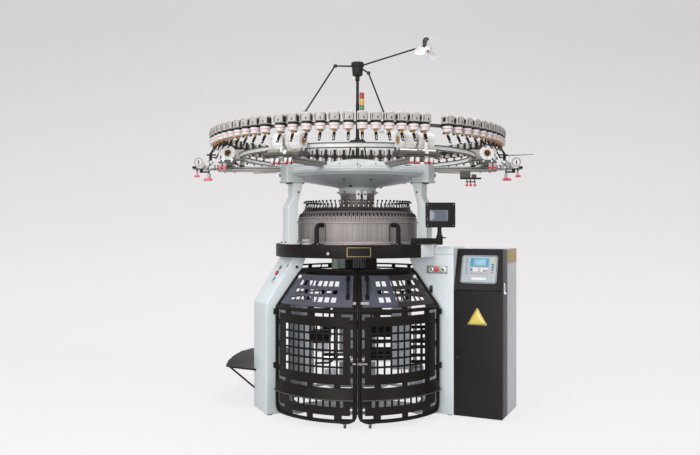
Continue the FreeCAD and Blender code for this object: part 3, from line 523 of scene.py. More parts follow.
class Graph:
    """The node tree of one material."""

    def __init__(self, name: str) -> None:
        """Makes the material with an empty tree."""
        self.material = bpy.data.materials.new(name)
        self.material.use_nodes = True
        self.tree = self.material.node_tree
        self.tree.nodes.clear()

    def node(self, kind: str, settings: dict[str, Any] | None = None, inputs: dict[Any, Any] | None = None,
             output: int | str = 0) -> Socket:
        """Adds one node.

        Args:
            kind: The node's type.
            settings: Attributes, set first.
            inputs: Values or sockets by input name or number.
            output: Which output to return.

        Returns:
            The chosen output.
        """
        node = self.tree.nodes.new(kind)
        for key, value in (settings or {}).items():
            setattr(node, key, value)
        for key, value in (inputs or {}).items():
            if isinstance(value, Socket):
                self.tree.links.new(value.output, node.inputs[key])
            else:
                node.inputs[key].default_value = value
        return Socket(self, node.outputs[output] if node.outputs else None)

    def place(self) -> Socket:
        """Object coordinates, in metres."""
        return self.node("ShaderNodeTexCoord", output="Object")

    def own(self) -> Socket:
        """The piece's own coordinates, in metres."""
        return self.node("ShaderNodeAttribute", {"attribute_name": "own"}, output="Vector")

    def axes(self, vector: Socket) -> tuple[Socket, Socket, Socket]:
        """The three parts of a vector."""
        parts = self.node("ShaderNodeSeparateXYZ", inputs={0: vector}).output.node
        return tuple(Socket(self, parts.outputs[number]) for number in range(3))

    def vector(self, x: Any, y: Any, z: Any) -> Socket:
        """A vector from three parts."""
        return self.node("ShaderNodeCombineXYZ", inputs={0: x, 1: y, 2: z})

    def round_place(self, source: Socket) -> tuple[Socket, Socket, Socket]:
        """Angle in radians, radius and height of a vector about Z."""
        x, y, z = self.axes(source)
        return x.maths("ARCTAN2", y, x), (x * x + y * y).power(0.5), z

    def noise(self, vector: Socket, scale: float, detail: float = 2.0) -> Socket:
        """Soft random values between 0 and 1."""
        return self.node("ShaderNodeTexNoise", inputs={"Vector": vector, "Scale": scale, "Detail": detail})

    def mix(self, share: Any, low: Any, high: Any) -> Socket:
        """A colour between two colours."""
        return self.node("ShaderNodeMix", {"data_type": "RGBA"}, {0: share, 6: low, 7: high}, 2)

    def bump(self, height: Socket, depth: float, strength: float = 1.0) -> Socket:
        """A normal from heights, depth in metres."""
        return self.node("ShaderNodeBump", inputs={"Strength": strength, "Distance": depth, "Height": height})

    def finish(self, **sockets: Any) -> bpy.types.Material:
        """Sets the Principled shader's inputs and returns the material."""
        inputs = {key.replace("_", " "): value for key, value in sockets.items()}
        shader = self.node("ShaderNodeBsdfPrincipled", inputs=inputs)
        self.node("ShaderNodeOutputMaterial", inputs={"Surface": shader})
        return self.material


Colour = tuple[float, float, float]


def tone(colour: Colour, gain: float = 1.0) -> tuple[float, float, float, float]:
    """A colour written as 0-255 display values, made linear by the display curve."""
    parts = [min(value * gain / 255, 1.0) for value in colour]
    return (*(part / 12.92 if part <= 0.04045 else ((part + 0.055) / 1.055) ** 2.4 for part in parts), 1.0)


@dataclass(frozen=True)
class Finish:
    """What all finishes have: a name, a colour and how dull they are."""

    name: str
    colour: Colour
    roughness: float = 0.5

    def build(self) -> bpy.types.Material:
        """The material, made once."""
        made = bpy.data.materials.get(self.name)
        return made or self.shade(Graph(self.name))

    def shade(self, graph: Graph) -> bpy.types.Material:
        """Fills the graph."""
        raise NotImplementedError


@dataclass(frozen=True)
class Paint(Finish):
    """Sprayed enamel: broad uneven tone, fine orange peel, and dust towards the floor."""

    peel: float = 0.00006
    dust: float = 0.12
    dirt: Colour = (120, 116, 110)
    coat: float = 0.12
    shine: float = 0.5

    def shade(self, graph: Graph) -> bpy.types.Material:
        """Tone by two noises, dust where a noise and the height allow it."""
        place = graph.place()
        _, _, height = graph.axes(place)
        broad, fine = graph.noise(place, 2.3, 4.0), graph.noise(place, 60.0, 3.0)
        low = (1.0 - height / 0.35).held() * fine * self.dust + (1.0 - broad) * self.dust * 0.25
        base = graph.mix(broad, tone(self.colour, 0.955), tone(self.colour, 1.03))
        base = graph.mix(low.held(), base, tone(self.dirt))
        rough = (fine - 0.5) * 0.16 + low * 0.5 + self.roughness
        return graph.finish(Base_Color=base, Roughness=rough.held(), Coat_Weight=self.coat,
                            Specular_IOR_Level=self.shine,
                            Normal=graph.bump(graph.noise(place, 420.0, 2.0), self.peel, 0.35))


@dataclass(frozen=True)
class Turned(Finish):
    """Metal cut on a lathe or drawn upright: streaks of noise stretched about the machine's axis."""

    around: float = 2.0
    upright: float = 260.0
    contrast: float = 0.35
    ribs: int = 0
    metallic: float = 1.0

    def shade(self, graph: Graph) -> bpy.types.Material:
        """Noise over (angle, radius, height), and fine upright ribs where asked."""
        place = graph.place()
        angle, radius, height = graph.round_place(place)
        streaks = graph.noise(graph.vector(angle * self.around, radius * self.upright, height * self.upright), 1.0)
        soft = graph.noise(place, 6.0, 3.0)
        share = (streaks - 0.5) * self.contrast * 2.0 + soft * 0.5 + 0.25
        relief = streaks
        if self.ribs:
            wave = (angle * float(self.ribs)).sine() * 0.5 + 0.5
            share = share - wave * 0.22
            relief = streaks * 0.3 + wave
        base = graph.mix(share.held(), tone(self.colour, 0.78), tone(self.colour, 1.18))
        rough = (streaks - 0.5) * 0.2 + soft * 0.08 + self.roughness
        return graph.finish(Base_Color=base, Metallic=self.metallic, Roughness=rough.held(),
                            Normal=graph.bump(relief, 0.0003, 0.3))


@dataclass(frozen=True)
class Metal(Finish):
    """Plain metal with fine scratches and smudges."""

    metallic: float = 1.0
    grain: float = 90.0
    depth: float = 0.0001

    def shade(self, graph: Graph) -> bpy.types.Material:
        """Tone and dullness from one stretched and one broad noise."""
        place = graph.place()
        x, y, z = graph.axes(place)
        grain = graph.noise(graph.vector(x * 0.15, y * 0.15, z), self.grain * 8, 2.0)
        smudge = graph.noise(place, 9.0, 4.0)
        share = grain * 0.35 + smudge * 0.65
        base = graph.mix(share.held(), tone(self.colour, 0.86), tone(self.colour, 1.12))
        rough = (smudge - 0.5) * 0.22 + (grain - 0.5) * 0.1 + self.roughness
        return graph.finish(Base_Color=base, Metallic=self.metallic, Roughness=rough.held(),
                            Normal=graph.bump(grain, self.depth, 0.25))


@dataclass(frozen=True)
class Cast(Finish):
    """Rough cast or rubbery surface: coarse pebbling."""

    pebble: float = 700.0
    depth: float = 0.00025
    metallic: float = 0.0
    shine: float = 0.3

    def shade(self, graph: Graph) -> bpy.types.Material:
        """Pebbles and blotches from two noises."""
        place = graph.place()
        pebbles, blotch = graph.noise(place, self.pebble, 3.0), graph.noise(place, 12.0, 3.0)
        base = graph.mix((blotch * 0.7 + pebbles * 0.3).held(), tone(self.colour, 0.8), tone(self.colour, 1.2))
        rough = (pebbles - 0.5) * 0.2 + (blotch - 0.5) * 0.15 + self.roughness
        return graph.finish(Base_Color=base, Metallic=self.metallic, Roughness=rough.held(),
                            Specular_IOR_Level=self.shine, Normal=graph.bump(pebbles, self.depth, 0.5))


@dataclass(frozen=True)
class Moulded(Finish):
    """Injection-moulded plastic: faint mottling and a fine satin texture."""

    texture: float = 1400.0
    shine: float = 0.4

    def shade(self, graph: Graph) -> bpy.types.Material:
        """Mottling by one noise, satin by another."""
        place = graph.place()
        mottle, satin = graph.noise(place, 25.0, 3.0), graph.noise(place, self.texture, 2.0)
        base = graph.mix(mottle, tone(self.colour, 0.94), tone(self.colour, 1.05))
        rough = (satin - 0.5) * 0.14 + (mottle - 0.5) * 0.08 + self.roughness
        return graph.finish(Base_Color=base, Roughness=rough.held(), Specular_IOR_Level=self.shine,
                            Normal=graph.bump(satin, 0.00004, 0.4))


@dataclass(frozen=True)
class Wound(Finish):
    """Yarn wound in crossing layers on a drum whose own axis is Z."""

    pitch: float = 0.0014

    def shade(self, graph: Graph) -> bpy.types.Material:
        """Two crossing screw lines, as the greater of two sines, over height and angle."""
        angle, radius, height = graph.round_place(graph.own())
        steps = 2 * math.pi / self.pitch
        rise = (height * steps + angle * 6.0).sine()
        fall = (height * steps - angle * 6.0 + radius * steps).sine()
        strand = rise.maths("MAXIMUM", rise, fall)
        fuzz = graph.noise(graph.place(), 320.0, 3.0)
        share = (strand * 0.25 + 0.5 + (fuzz - 0.5) * 0.6).held()
        base = graph.mix(share, tone(self.colour, 0.88), tone(self.colour, 1.02))
        return graph.finish(Base_Color=base, Roughness=(fuzz * 0.2 + self.roughness).held(), Sheen_Weight=0.25,
                            Normal=graph.bump(strand + fuzz, 0.0003, 0.4))


@dataclass(frozen=True)
class Lamp(Finish):
    """Tinted lens or display that gives a little light of its own, with moulded ribs."""

    glow: float = 0.3
    ribs: float = 0.0

    def shade(self, graph: Graph) -> bpy.types.Material:
        """Ribs across the height, and a soft unevenness."""
        place = graph.place()
        _, _, height = graph.axes(place)
        soft = graph.noise(place, 14.0, 2.0)
        base = graph.mix(soft, tone(self.colour, 0.9), tone(self.colour, 1.08))
        ribs = (height * self.ribs).sine() if self.ribs else soft
        return graph.finish(Base_Color=base, Roughness=(soft * 0.12 + self.roughness).held(), Coat_Weight=0.4,
                            Emission_Color=base, Emission_Strength=self.glow,
                            Normal=graph.bump(ribs, 0.0004, 0.4))


class Look(Enum):
    """The finishes of this machine."""

    MINT = Paint("mint_enamel", (216, 224, 226), 0.42)
    PILLAR = Paint("pillar_enamel", (205, 210, 210), 0.42)
    CASTING = Paint("casting_enamel", (184, 190, 190), 0.46)
    WHITE = Paint("white_enamel", (212, 211, 213), 0.4)
    BLACK = Paint("black_enamel", (24, 20, 18), 0.44, dust=0.05, coat=0.0, shine=0.14)
    # Slate paint made darker for the right gate's outer plate: painted reflection.
    RUSSET = Paint("russet_black_enamel", (52, 44, 44), 0.42, dust=0.05, coat=0.0, shine=0.25)
    CHARCOAL = Paint("charcoal_enamel", (33, 30, 31), 0.46, dust=0.04, coat=0.0, shine=0.14)
    STRIP = Paint("grey_enamel", (84, 83, 88), 0.5, coat=0.0, shine=0.3)
    SLATE = Paint("slate_enamel", (76, 77, 90), 0.45, dust=0.05, coat=0.0, shine=0.3)
    HAZE = Paint("haze_enamel", (236, 240, 248), 0.5, coat=0.0)
    # Mint made paler for the skirt on the bed's shaded front right side: painted light.
    PALE = Paint("pale_enamel", (240, 244, 246), 0.45)
    SAND = Paint("sand_enamel", (190, 164, 102), 0.5)
    COVER = Turned("upright_drawn_steel", (154, 147, 145), 0.56, around=42.0, upright=1.2, contrast=0.5, ribs=420,
                   metallic=0.55)
    STEEL = Turned("turned_steel", (160, 152, 149), 0.44, metallic=0.55)
    CAM_STEEL = Turned("cam_steel", (150, 142, 139), 0.48, metallic=0.3)
    DARK_STEEL = Turned("blued_steel", (88, 80, 78), 0.45, contrast=0.5)
    NECK = Turned("ribbed_iron", (122, 112, 110), 0.5, around=50.0, upright=1.0, ribs=64, metallic=0.5)
    RAIL = Metal("grey_alloy", (150, 148, 142), 0.5, metallic=0.55)
    GREEN_RAIL = Metal("green_grey_rail", (98, 104, 97), 0.5, metallic=0.4)
    CHROME = Metal("chrome", (205, 203, 202), 0.2, depth=0.00002)
    BRONZE = Metal("worn_brass", (152, 134, 130), 0.5, metallic=0.5)
    ZINC = Metal("zinc", (158, 157, 155), 0.45, metallic=0.6)
    BOLT = Metal("black_oxide", (34, 31, 30), 0.5, metallic=0.4)
    IRON = Cast("cast_iron", (42, 38, 35), 0.6, shine=0.15)
    GREY_IRON = Cast("grey_iron", (84, 81, 80), 0.55)
    RUBBER = Cast("rubber", (22, 20, 20), 0.6, shine=0.12)
    FEEDER_GREY = Moulded("feeder_grey", (172, 167, 162), 0.42)
    FEEDER_WHITE = Moulded("feeder_white", (220, 217, 215), 0.4)
    WHITE_PLASTIC = Moulded("white_plastic", (218, 215, 214), 0.45)
    BLACK_PLASTIC = Moulded("black_plastic", (24, 22, 22), 0.45, shine=0.15)
    GREY_PLASTIC = Moulded("grey_plastic", (168, 175, 181), 0.5)
    RED_PLASTIC = Moulded("red_plastic", (160, 52, 47), 0.4)
    PINK_LINE = Moulded("pink_line", (206, 96, 108), 0.5)
    ORANGE_PLASTIC = Moulded("orange_plastic", (188, 128, 62), 0.4)
    YELLOW_PLASTIC = Moulded("yellow_plastic", (208, 190, 62), 0.45)
    BRASS_PLASTIC = Moulded("straw_plastic", (160, 150, 104), 0.4)
    GREEN_PLASTIC = Moulded("green_plastic", (44, 78, 66), 0.4)
    TEAL_PLASTIC = Moulded("teal_plastic", (44, 112, 112), 0.4)
    BLUE_PLASTIC = Moulded("blue_plastic", (58, 92, 140), 0.4)
    PALE_PLASTIC = Moulded("pale_green_plastic", (168, 184, 170), 0.4)
    CARD = Cast("card_tube", (196, 168, 130), 0.8, pebble=300.0)
    YARN = Wound("wound_yarn", (238, 237, 235), 0.7)
    GOLD = Metal("gold_line", (176, 150, 80), 0.45, metallic=0.6, depth=0.00002)
    DISPLAY = Lamp("display_glass", (88, 95, 106), 0.25, glow=0.1)
    LCD = Lamp("blue_display", (66, 136, 166), 0.3, glow=0.15)
    LCD_FIELD = Lamp("pale_display", (124, 160, 178), 0.35, glow=0.15)
    LAMP_RED = Lamp("red_lens", (150, 52, 44), 0.3, glow=0.06, ribs=2100.0)
    LAMP_AMBER = Lamp("amber_lens", (196, 156, 62), 0.3, glow=0.06, ribs=2100.0)
    LAMP_GREEN = Lamp("green_lens", (66, 118, 68), 0.3, glow=0.06, ribs=2100.0)


# ---------------------------------------------------------------- putting pieces into the scene


def dress(name: str, parts: Surface | Sequence[Surface], look: Look, body: str = "frame",
          replaces: Sequence[str] = (), crease: float = 38.0) -> bpy.types.Object:
    """Makes one finished piece at the origin and lets it ride a body.

    Args:
        name: Name of the piece.
        parts: Its surface, or several to join.
        look: Its finish.
        body: The CAD body it moves with.
        replaces: CAD nodes that it stands for.
        crease: Edges sharper than this angle stay sharp.

    Returns:
        The object.
    """
    surface = parts if isinstance(parts, Surface) else Surface.joined(list(parts))
    mesh = bpy.data.meshes.new(name)
    faces = surface.quads.tolist() + surface.tris.tolist()
    mesh.from_pydata((surface.points * MM).tolist(), [], faces)
    mark = mesh.attributes.new("own", "FLOAT_VECTOR", "POINT")
    mark.data.foreach_set("vector", (surface.own * MM).astype(np.float32).ravel())
    mesh.shade_smooth()
    mesh.set_sharp_from_angle(angle=math.radians(crease))
    mesh.materials.append(look.value.build())
    piece = bpy.data.objects.new(name, mesh)
    bpy.context.scene.collection.objects.link(piece)
    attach(piece, body)
    if replaces:
        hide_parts(*replaces)
    LOG.info("%s: %d faces on %s", name, len(faces), body)
    return piece


def softened(frame: dict[str, Any], node: str, look: Look, edge: float, body: str = "frame",
             steps: int = 2) -> bpy.types.Object:
    """A copy of a CAD node with its flats merged and its edges rounded by a Bevel modifier.

    Corners closer than MERGE metres become one, faces that meet at less than FLAT_ANGLE degrees
    become one flat, and edges sharper than EDGE_ANGLE degrees are rounded.

    Args:
        node: The CAD node, which the copy replaces.
        look: The finish.
        edge: Width of the rounding in millimetres.
        body: The body it rides on.
        steps: Segments of the rounding.

    Returns:
        The object.
    """
    mesh = bpy.data.meshes.new(f"{node}_soft")
    work = bmesh.new()
    work.from_mesh(frame["nodes"][node].data)
    bmesh.ops.remove_doubles(work, verts=work.verts, dist=MERGE)
    bmesh.ops.dissolve_limit(work, angle_limit=math.radians(FLAT_ANGLE), verts=work.verts, edges=work.edges)
    work.to_mesh(mesh)
    work.free()
    mesh.shade_smooth()
    mesh.materials.clear()
    mesh.materials.append(look.value.build())
    piece = bpy.data.objects.new(f"{node}_soft", mesh)
    bpy.context.scene.collection.objects.link(piece)
    bevel = piece.modifiers.new("edges", "BEVEL")
    bevel.width, bevel.segments, bevel.limit_method = edge * MM, steps, "ANGLE"
    bevel.angle_limit = math.radians(EDGE_ANGLE)
    bevel.harden_normals = True
    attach(piece, body)
    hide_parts(node)
    LOG.info("%s softened by %.1f mm", node, edge)
    return piece


# ---------------------------------------------------------------- floor, lights and camera


@dataclass
class Studio:
    """Pale floor that rises into a backdrop which shows from its front only, soft lamps and the camera."""

    eye: tuple[float, float, float] = (0.0, -6.26, 1.533)
    focal_pixels: float = 720.0
    frame_width: float = 700.0
    shift: tuple[float, float] = (-7.5 / 700, 1.5 / 700)
    sensor: float = 36.0
    floor_half: float = 9.0
    floor_front: float = -9.5
    wall: float = 4.2
    wall_top: float = 7.5
    bend: float = 1.6
    world_strength: float = 0.52
    lamps: tuple[tuple[str, tuple[float, float, float], tuple[float, float, float], float, float], ...] = (
        ("key", (-3.9, -5.6, 4.6), (0, 0, 1.3), 4.0, 215),
        ("front", (-2.2, -8.6, 1.9), (0, 0, 1.1), 3.4, 235),
        ("fill", (4.4, -4.6, 2.6), (0.2, 0, 1.2), 3.0, 62),
        ("top", (0.0, -0.6, 5.8), (0, 0, 1.0), 3.4, 165))

    def stage(self) -> None:
        """The floor and wall as one curved sheet: a quarter round joins them."""
        turn = np.linspace(0, np.pi / 2, 17)
        bend = self.bend
        y = np.r_[self.floor_front, -2, 1.0, self.wall - bend + bend * np.sin(turn), self.wall]
        z = np.r_[0, 0, 0, bend - bend * np.cos(turn), self.wall_top]
        x = np.linspace(-self.floor_half, self.floor_half, 9)
        lines = (x[None], y[:, None], z[:, None])
        surface = Surface.grid(np.stack([np.broadcast_to(line, (len(y), len(x))) for line in lines], -1))
        mesh = bpy.data.meshes.new("backdrop")
        mesh.from_pydata(surface.points.tolist(), [], surface.quads.tolist())
        mesh.shade_smooth()
        mesh.materials.append(self.paper())
        sheet = bpy.data.objects.new("backdrop", mesh)
        bpy.context.scene.collection.objects.link(sheet)

    def paper(self) -> bpy.types.Material:
        """Pale paper that is clear from behind.

        To the camera and in reflections it is mostly bright of itself. The light that bounces off it is
        that of a greyer sheet, so that it doesn't fill the machine's shadows.

        Returns:
            The material.
        """
        graph = Graph("paper")
        _, _, height = graph.axes(graph.place())
        share = (height / 4.4).held()
        grain = graph.noise(graph.place(), 240.0, 2.0)
        colour = graph.mix(share, tone((245, 243, 244)), tone((212, 208, 209)))
        path = graph.node("ShaderNodeLightPath").output.node
        rays = sum((Socket(graph, path.outputs[name]) for name in ("Is Glossy Ray", "Is Transmission Ray")),
                   start=Socket(graph, path.outputs["Is Camera Ray"]))
        sheet = graph.mix(rays.held(), tone((150, 149, 150)), tone((240, 238, 239)))
        relief = graph.bump(grain, 0.0002, 0.1)
        diffuse = graph.node("ShaderNodeBsdfDiffuse", inputs={"Color": sheet, "Normal": relief})
        glow = graph.node("ShaderNodeEmission", inputs={"Color": colour, "Strength": 1.0})
        mixed = graph.node("ShaderNodeMixShader", inputs={0: (rays.held() * 0.85).held(), 1: diffuse, 2: glow})
        clear = graph.node("ShaderNodeBsdfTransparent")
        behind = graph.node("ShaderNodeNewGeometry", output="Backfacing")
        one_sided = graph.node("ShaderNodeMixShader", inputs={0: behind, 1: mixed, 2: clear})
        graph.node("ShaderNodeOutputMaterial", inputs={"Surface": one_sided})
        return graph.material

    def lamp(self, name: str, place: tuple[float, float, float], aim: tuple[float, float, float], size: float,
             power: float) -> None:
        """A square soft lamp that faces a point.

        Args:
            name: The lamp's name.
            place: Where it stands, in metres.
            aim: The point it faces.
            size: Its edge.
            power: Its watts.
        """
        light = bpy.data.lights.new(name, "AREA")
        light.shape, light.size, light.energy = "SQUARE", size, power
        holder = bpy.data.objects.new(name, light)
        holder.location = place
        holder.rotation_euler = (Vector(aim) - Vector(place)).to_track_quat("-Z", "Y").to_euler()
        bpy.context.scene.collection.objects.link(holder)

    def light(self) -> None:
        """Key from the upper left, a lamp behind the eye, fill from the right, one above, and a pale world.

        The camera sees the world as plain pale paper, whatever light the world gives.
        """
        for row in self.lamps:
            self.lamp(*row)
        world = bpy.data.worlds.new("pale_world")
        world.use_nodes = True
        tree = world.node_tree
        daylight = tree.nodes["Background"]
        daylight.inputs["Color"].default_value = (0.95, 0.97, 1.0, 1.0)
        daylight.inputs["Strength"].default_value = self.world_strength
        backing = tree.nodes.new("ShaderNodeBackground")
        backing.inputs["Color"].default_value = tone((228, 225, 226))
        choice, ray = tree.nodes.new("ShaderNodeMixShader"), tree.nodes.new("ShaderNodeLightPath")
        tree.links.new(ray.outputs["Is Camera Ray"], choice.inputs[0])
        tree.links.new(daylight.outputs[0], choice.inputs[1])
        tree.links.new(backing.outputs[0], choice.inputs[2])
        tree.links.new(choice.outputs[0], tree.nodes["World Output"].inputs["Surface"])
        bpy.context.scene.world = world
        bpy.context.scene.view_settings.view_transform = "Standard"

    def camera(self) -> None:
        """The photograph's eye: level, along +Y."""
        lens = bpy.data.cameras.new("eye")
        lens.sensor_width = self.sensor
        lens.lens = self.focal_pixels / self.frame_width * self.sensor
        lens.shift_x, lens.shift_y = self.shift
        lens.clip_end = 60.0
        holder = bpy.data.objects.new("eye", lens)
        holder.location = self.eye
        holder.rotation_euler = (math.pi / 2, 0, 0)
        bpy.context.scene.collection.objects.link(holder)
        bpy.context.scene.camera = holder

    def build(self) -> None:
        """Everything that isn't the machine."""
        self.camera()
        self.stage()
        self.light()


# ---------------------------------------------------------------- base, columns and bed


@dataclass
class Underframe:
    """Hub and arms on the floor, feet, three columns and the drive housing."""

    frame: dict[str, Any]
    seam_height: float = 1325.0

    def build(self) -> None:
        """Softens the welded parts and adds seams, a plug and bolts."""
        softened(self.frame, "base_frame", Look.MINT, 4)
        softened(self.frame, "levelling_feet", Look.IRON, 2)
        for node, edge in (("left_leg", 9), ("rear_leg", 9), ("right_leg", 4)):
            softened(self.frame, node, Look.MINT, edge, steps=3)
        softened(self.frame, "table_bed", Look.MINT, 3)
        self.seams()

    def seams(self) -> None:
        """The joint lines of the housing's sheet metal and the plug and bolts on the left column."""
        seam = bar(200, 1.2, 2.4, beside(RIGHT, 765, -0.2, self.seam_height), RIGHT, 0.3, 0.2)
        dress("housing_seam", [seam], Look.STRIP)
        plug = lathe([(0, 0), (15, 0), (15, 3), (11, 6), (0, 6)], sides=24)
        spot = on_slope(0.8, -8)
        side = seated(beside(LEFT, 566, 17.2, 1216), spot[:3, 0], beside(LEFT, 0, 1))
        dress("column_plug", [plug.placed(spot)], Look.ZINC)
        stop = bar(26, 12, 58, beside(RIGHT, 676, -6, 1036), RIGHT, 3, 2)
        dress("column_screws", [hex_bolt(10, 9).placed(side), stop], Look.BOLT)


@dataclass
class Table:
    """The black band round the bed with its blank plate and stud, the skirt over the bed's front right side, painted
    paler than the bed's mint as painted light on that shaded side, and the bed's bolts.
    """

    band_inner: float = 698.0
    band_outer: float = 704.0
    low: float = 1303.0
    high: float = 1409.0

    def arc(self, degrees: Array, height: Array, depth: Array) -> Array:
        """A place on the band from angle, height and depth."""
        return polar(self.band_outer + depth, degrees, height)

    def build(self) -> None:
        """Band, plate with a thin gold border, stud, skirt and bed bolts."""
        r, inner, high = self.band_outer, self.band_inner, self.high
        section = rounded(oblong(inner, r, self.low, high), 1.6, 2)
        lip = rounded(oblong(inner - 10, r, high - 3, high), 1.2, 2)
        dress("band", [lathe(section, 15, 316.4, 300), lathe(lip, 15, 316.4, 300)], Look.BLACK,
              replaces=["table_band"])
        plate = perforated((262.9, 278.8), (1313, 1393), [], 1.4, self.arc, 1.0)
        border = perforated((263.3, 278.4), (1317, 1389), [(263.62, 278.08, 1320, 1386)], 2.0, self.arc, 1.0)
        dress("blank_plate", [plate], Look.BLACK_PLASTIC)
        dress("plate_border", [border], Look.GOLD)
        stud = lathe([(0, 0), (13, 0), (13, 2), (9, 4), (0, 4)], sides=24)
        spot = polar(r, 250.9, 1340)
        dress("band_stud", [stud.placed(seated(spot, (0, 0, 1), spot * (1, 1, 0)))], Look.ZINC)
        # The skirt is painted paler than the bed's mint: painted light on a side that falls in shade.
        skirt = rounded(oblong(inner, r - 1.5, 1305, 1402), 1.2, 2)
        dress("bed_skirt", [lathe(skirt, 316.6, 334, 30)], Look.PALE)
        bolt = hex_bolt(8, 7).placed(moved(672, 0, 1403))
        dress("bed_bolts", [bolt.around(between_columns(20, 16))], Look.BOLT)


@dataclass
class Pillars:
    """Three dog-leg pillars with flange bolts and plugs."""

    frame: dict[str, Any]

    def build(self) -> None:
        """Soft edges, bolts at both ends, plugs on the sides."""
        softened(self.frame, "pillars", Look.PILLAR, 7, steps=3)
        foot = [hex_bolt(9, 9).placed(moved(677, side, 1419)) for side in (-48, 48)]
        head = [hex_bolt(8, 9).placed(moved(radius, side, 1917) @ turned(180, "x"))
                for radius, side in ((628, -52), (628, 0), (628, 52), (520, -52), (520, 52))]
        dress("pillar_bolts", [ringed(foot + head, COLUMNS)], Look.BOLT)
        dent = lathe([(0, 0), (8, 0), (8, 1), (5, 1.6), (0, 1.6)], sides=16)
        marks = [dent.placed(seated(np.array([572, side * 70, 1838]), (0, 0, 1), (0, side, 0))) for side in (-1, 1)]
        dress("pillar_plugs", [ringed(marks, COLUMNS)], Look.BOLT)


# ---------------------------------------------------------------- knitting head


@dataclass
class KnittingHead:
    """Cover, cam ring with its blocks, dial with yarn guides, neck, cylinder and dial."""

    stations: int = 72
    cams: int = 96
    cover: float = 515.0
    cover_low: float = 1403.0
    cover_high: float = 1590.0

    def build(self) -> None:
        """All parts from the cover inwards."""
        self.build_cover()
        self.build_cams()
        self.build_dial()
        self.build_guides()
        self.build_cylinder()

    def angles(self, offset: float, count: int) -> Array:
        """Even angles, the first at the front."""
        return 270 + offset + np.arange(count) * 360 / count

    def build_cover(self) -> None:
        """A drawn steel shell with a lip, a bright foot ring, joint strips and screws."""
        r, low, high = self.cover, self.cover_low, self.cover_high
        shell = oblong(r - 10, r, low + 6, high - 8)
        dress("cover_shell", [spun(shell, 1.5, 2, 180)], Look.COVER,
              replaces=["cylinder_cover"])
        foot = [(r - 9, low), (r + 34, low), (r + 34, low + 10), (r + 12, low + 13), (r + 4, low + 30),
                (r - 9, low + 30)]
        lip = [(r - 10, high - 12), (r + 4, high - 12), (r + 6, high - 8), (r + 6, high), (r - 10, high)]
        dress("cover_rings", [spun(section, 2, 2, 180) for section in (foot, lip)], Look.STEEL)
        strip = bar(2.6, 5, 145, (r + 0.6, 0, low + 103), 0, 0.4, 0.3)
        dress("cover_joints", [strip.around(range(0, 360, 60))], Look.DARK_STEEL)
        screw = hex_bolt(5, 4).placed(moved(r + 24, 0, low + 10.5))
        dress("cover_screws", [screw.around(range(0, 360, 12))], Look.BOLT)

    def build_cams(self) -> None:
        """Cam blocks on a base ring, each with a keyhole slot, a peg and two screws."""
        ledge = [(440, 1590), (520, 1590), (522, 1594), (522, 1600), (516, 1604), (440, 1604)]
        core = [(441, 1602), (505, 1602), (500, 1625), (486, 1652), (463, 1674), (441, 1676)]
        dress("cam_base", [spun(ledge, 2, 2, 144)], Look.CAM_STEEL,
              replaces=["cam_ring"])
        dress("cam_core", [spun(core, 3, 2, 144)], Look.BOLT)
        face = rounded([(442, 1603), (513, 1603), (509, 1630), (494, 1658), (470, 1680), (442, 1681)], 5, 2)
        angles = self.angles(0.0, self.cams)
        half = 180 / self.cams - 0.3
        dress("cam_blocks", [lathe(face, -half, half, 3).around(angles)], Look.CAM_STEEL, crease=30)
        slope = seated(np.array([500.6, 0.0, 1650.0]), (0, 1, 0), (0.88, 0, 0.47))
        slot = Surface.joined([slab(18, 11, 3.4, 2, 0.5).placed(moved(0, 8, -1)),
                               slab(11, 26, 3.4, 2, 0.5).placed(moved(0, -4, -1))]).placed(slope)
        dress("cam_slots", [slot.around(angles)], Look.BLACK_PLASTIC)
        low = seated(np.array([511.5, 0.0, 1618.0]), (0, 1, 0), (1, 0, 0.12))
        high = seated(np.array([482.0, 0.0, 1669.6]), (0, 1, 0), (0.62, 0, 0.78))
        screws = [slab(8, 9, 3, 2, 0.6).placed(low), hex_bolt(3.4, 3).placed(high)]
        dress("cam_screws", [ringed(screws, angles)], Look.BOLT)
        rim = [(440, 1681), (474, 1681), (474, 1686), (466, 1690), (440, 1690)]
        dress("cam_rim", [spun(rim, 1.5, 2, 144)], Look.DARK_STEEL)

    def build_dial(self) -> None:
        """The dial cover with its rim, the ribbed neck and the cam gearbox in front of it."""
        plate = [(62, 1683), (452, 1683), (452, 1699), (300, 1703), (170, 1712), (62, 1712)]
        dress("dial_plate_cover", [spun(plate, 3, 2, 120)], Look.STEEL,
              replaces=["dial_cover"])
        rim = [(436, 1689), (459, 1689), (462, 1694), (461, 1704), (456, 1708), (436, 1708)]
        dress("guide_ring", [spun(rim, 2, 2, 144)], Look.BOLT)
        neck = oblong(62, 147, 1700, 1838)
        dress("neck", [spun(neck, 2, 2, 96)], Look.NECK)
        collars = [[(140, 1702), (168, 1702), (160, 1722), (140, 1722)],
                   [(140, 1826), (156, 1826), (158, 1838), (140, 1838)]]
        dress("neck_collars", [spun(section, 3, 2, 96) for section in collars], Look.STEEL)
        cases = [slab(42, 36, 84, 6, 4).placed(moved(8, -168, 1782)),
                 slab(36, 40, 74, 6, 4).placed(moved(62, -162, 1780))]
        cap = lathe([(0, 0), (9, 0), (9, 4), (6, 6), (0, 6)], sides=24)
        caps = [cap.placed(facing_eye(x, y, 1826)) for x, y in ((8, -186), (62, -182))]
        dress("cam_gearbox", cases, Look.WHITE_PLASTIC)
        dress("gearbox_caps", caps, Look.BOLT)
        coupling = pipe([(26, -170, 1806), (46, -170, 1806)], 16, 16)
        dress("gearbox_coupling", [coupling], Look.BOLT)

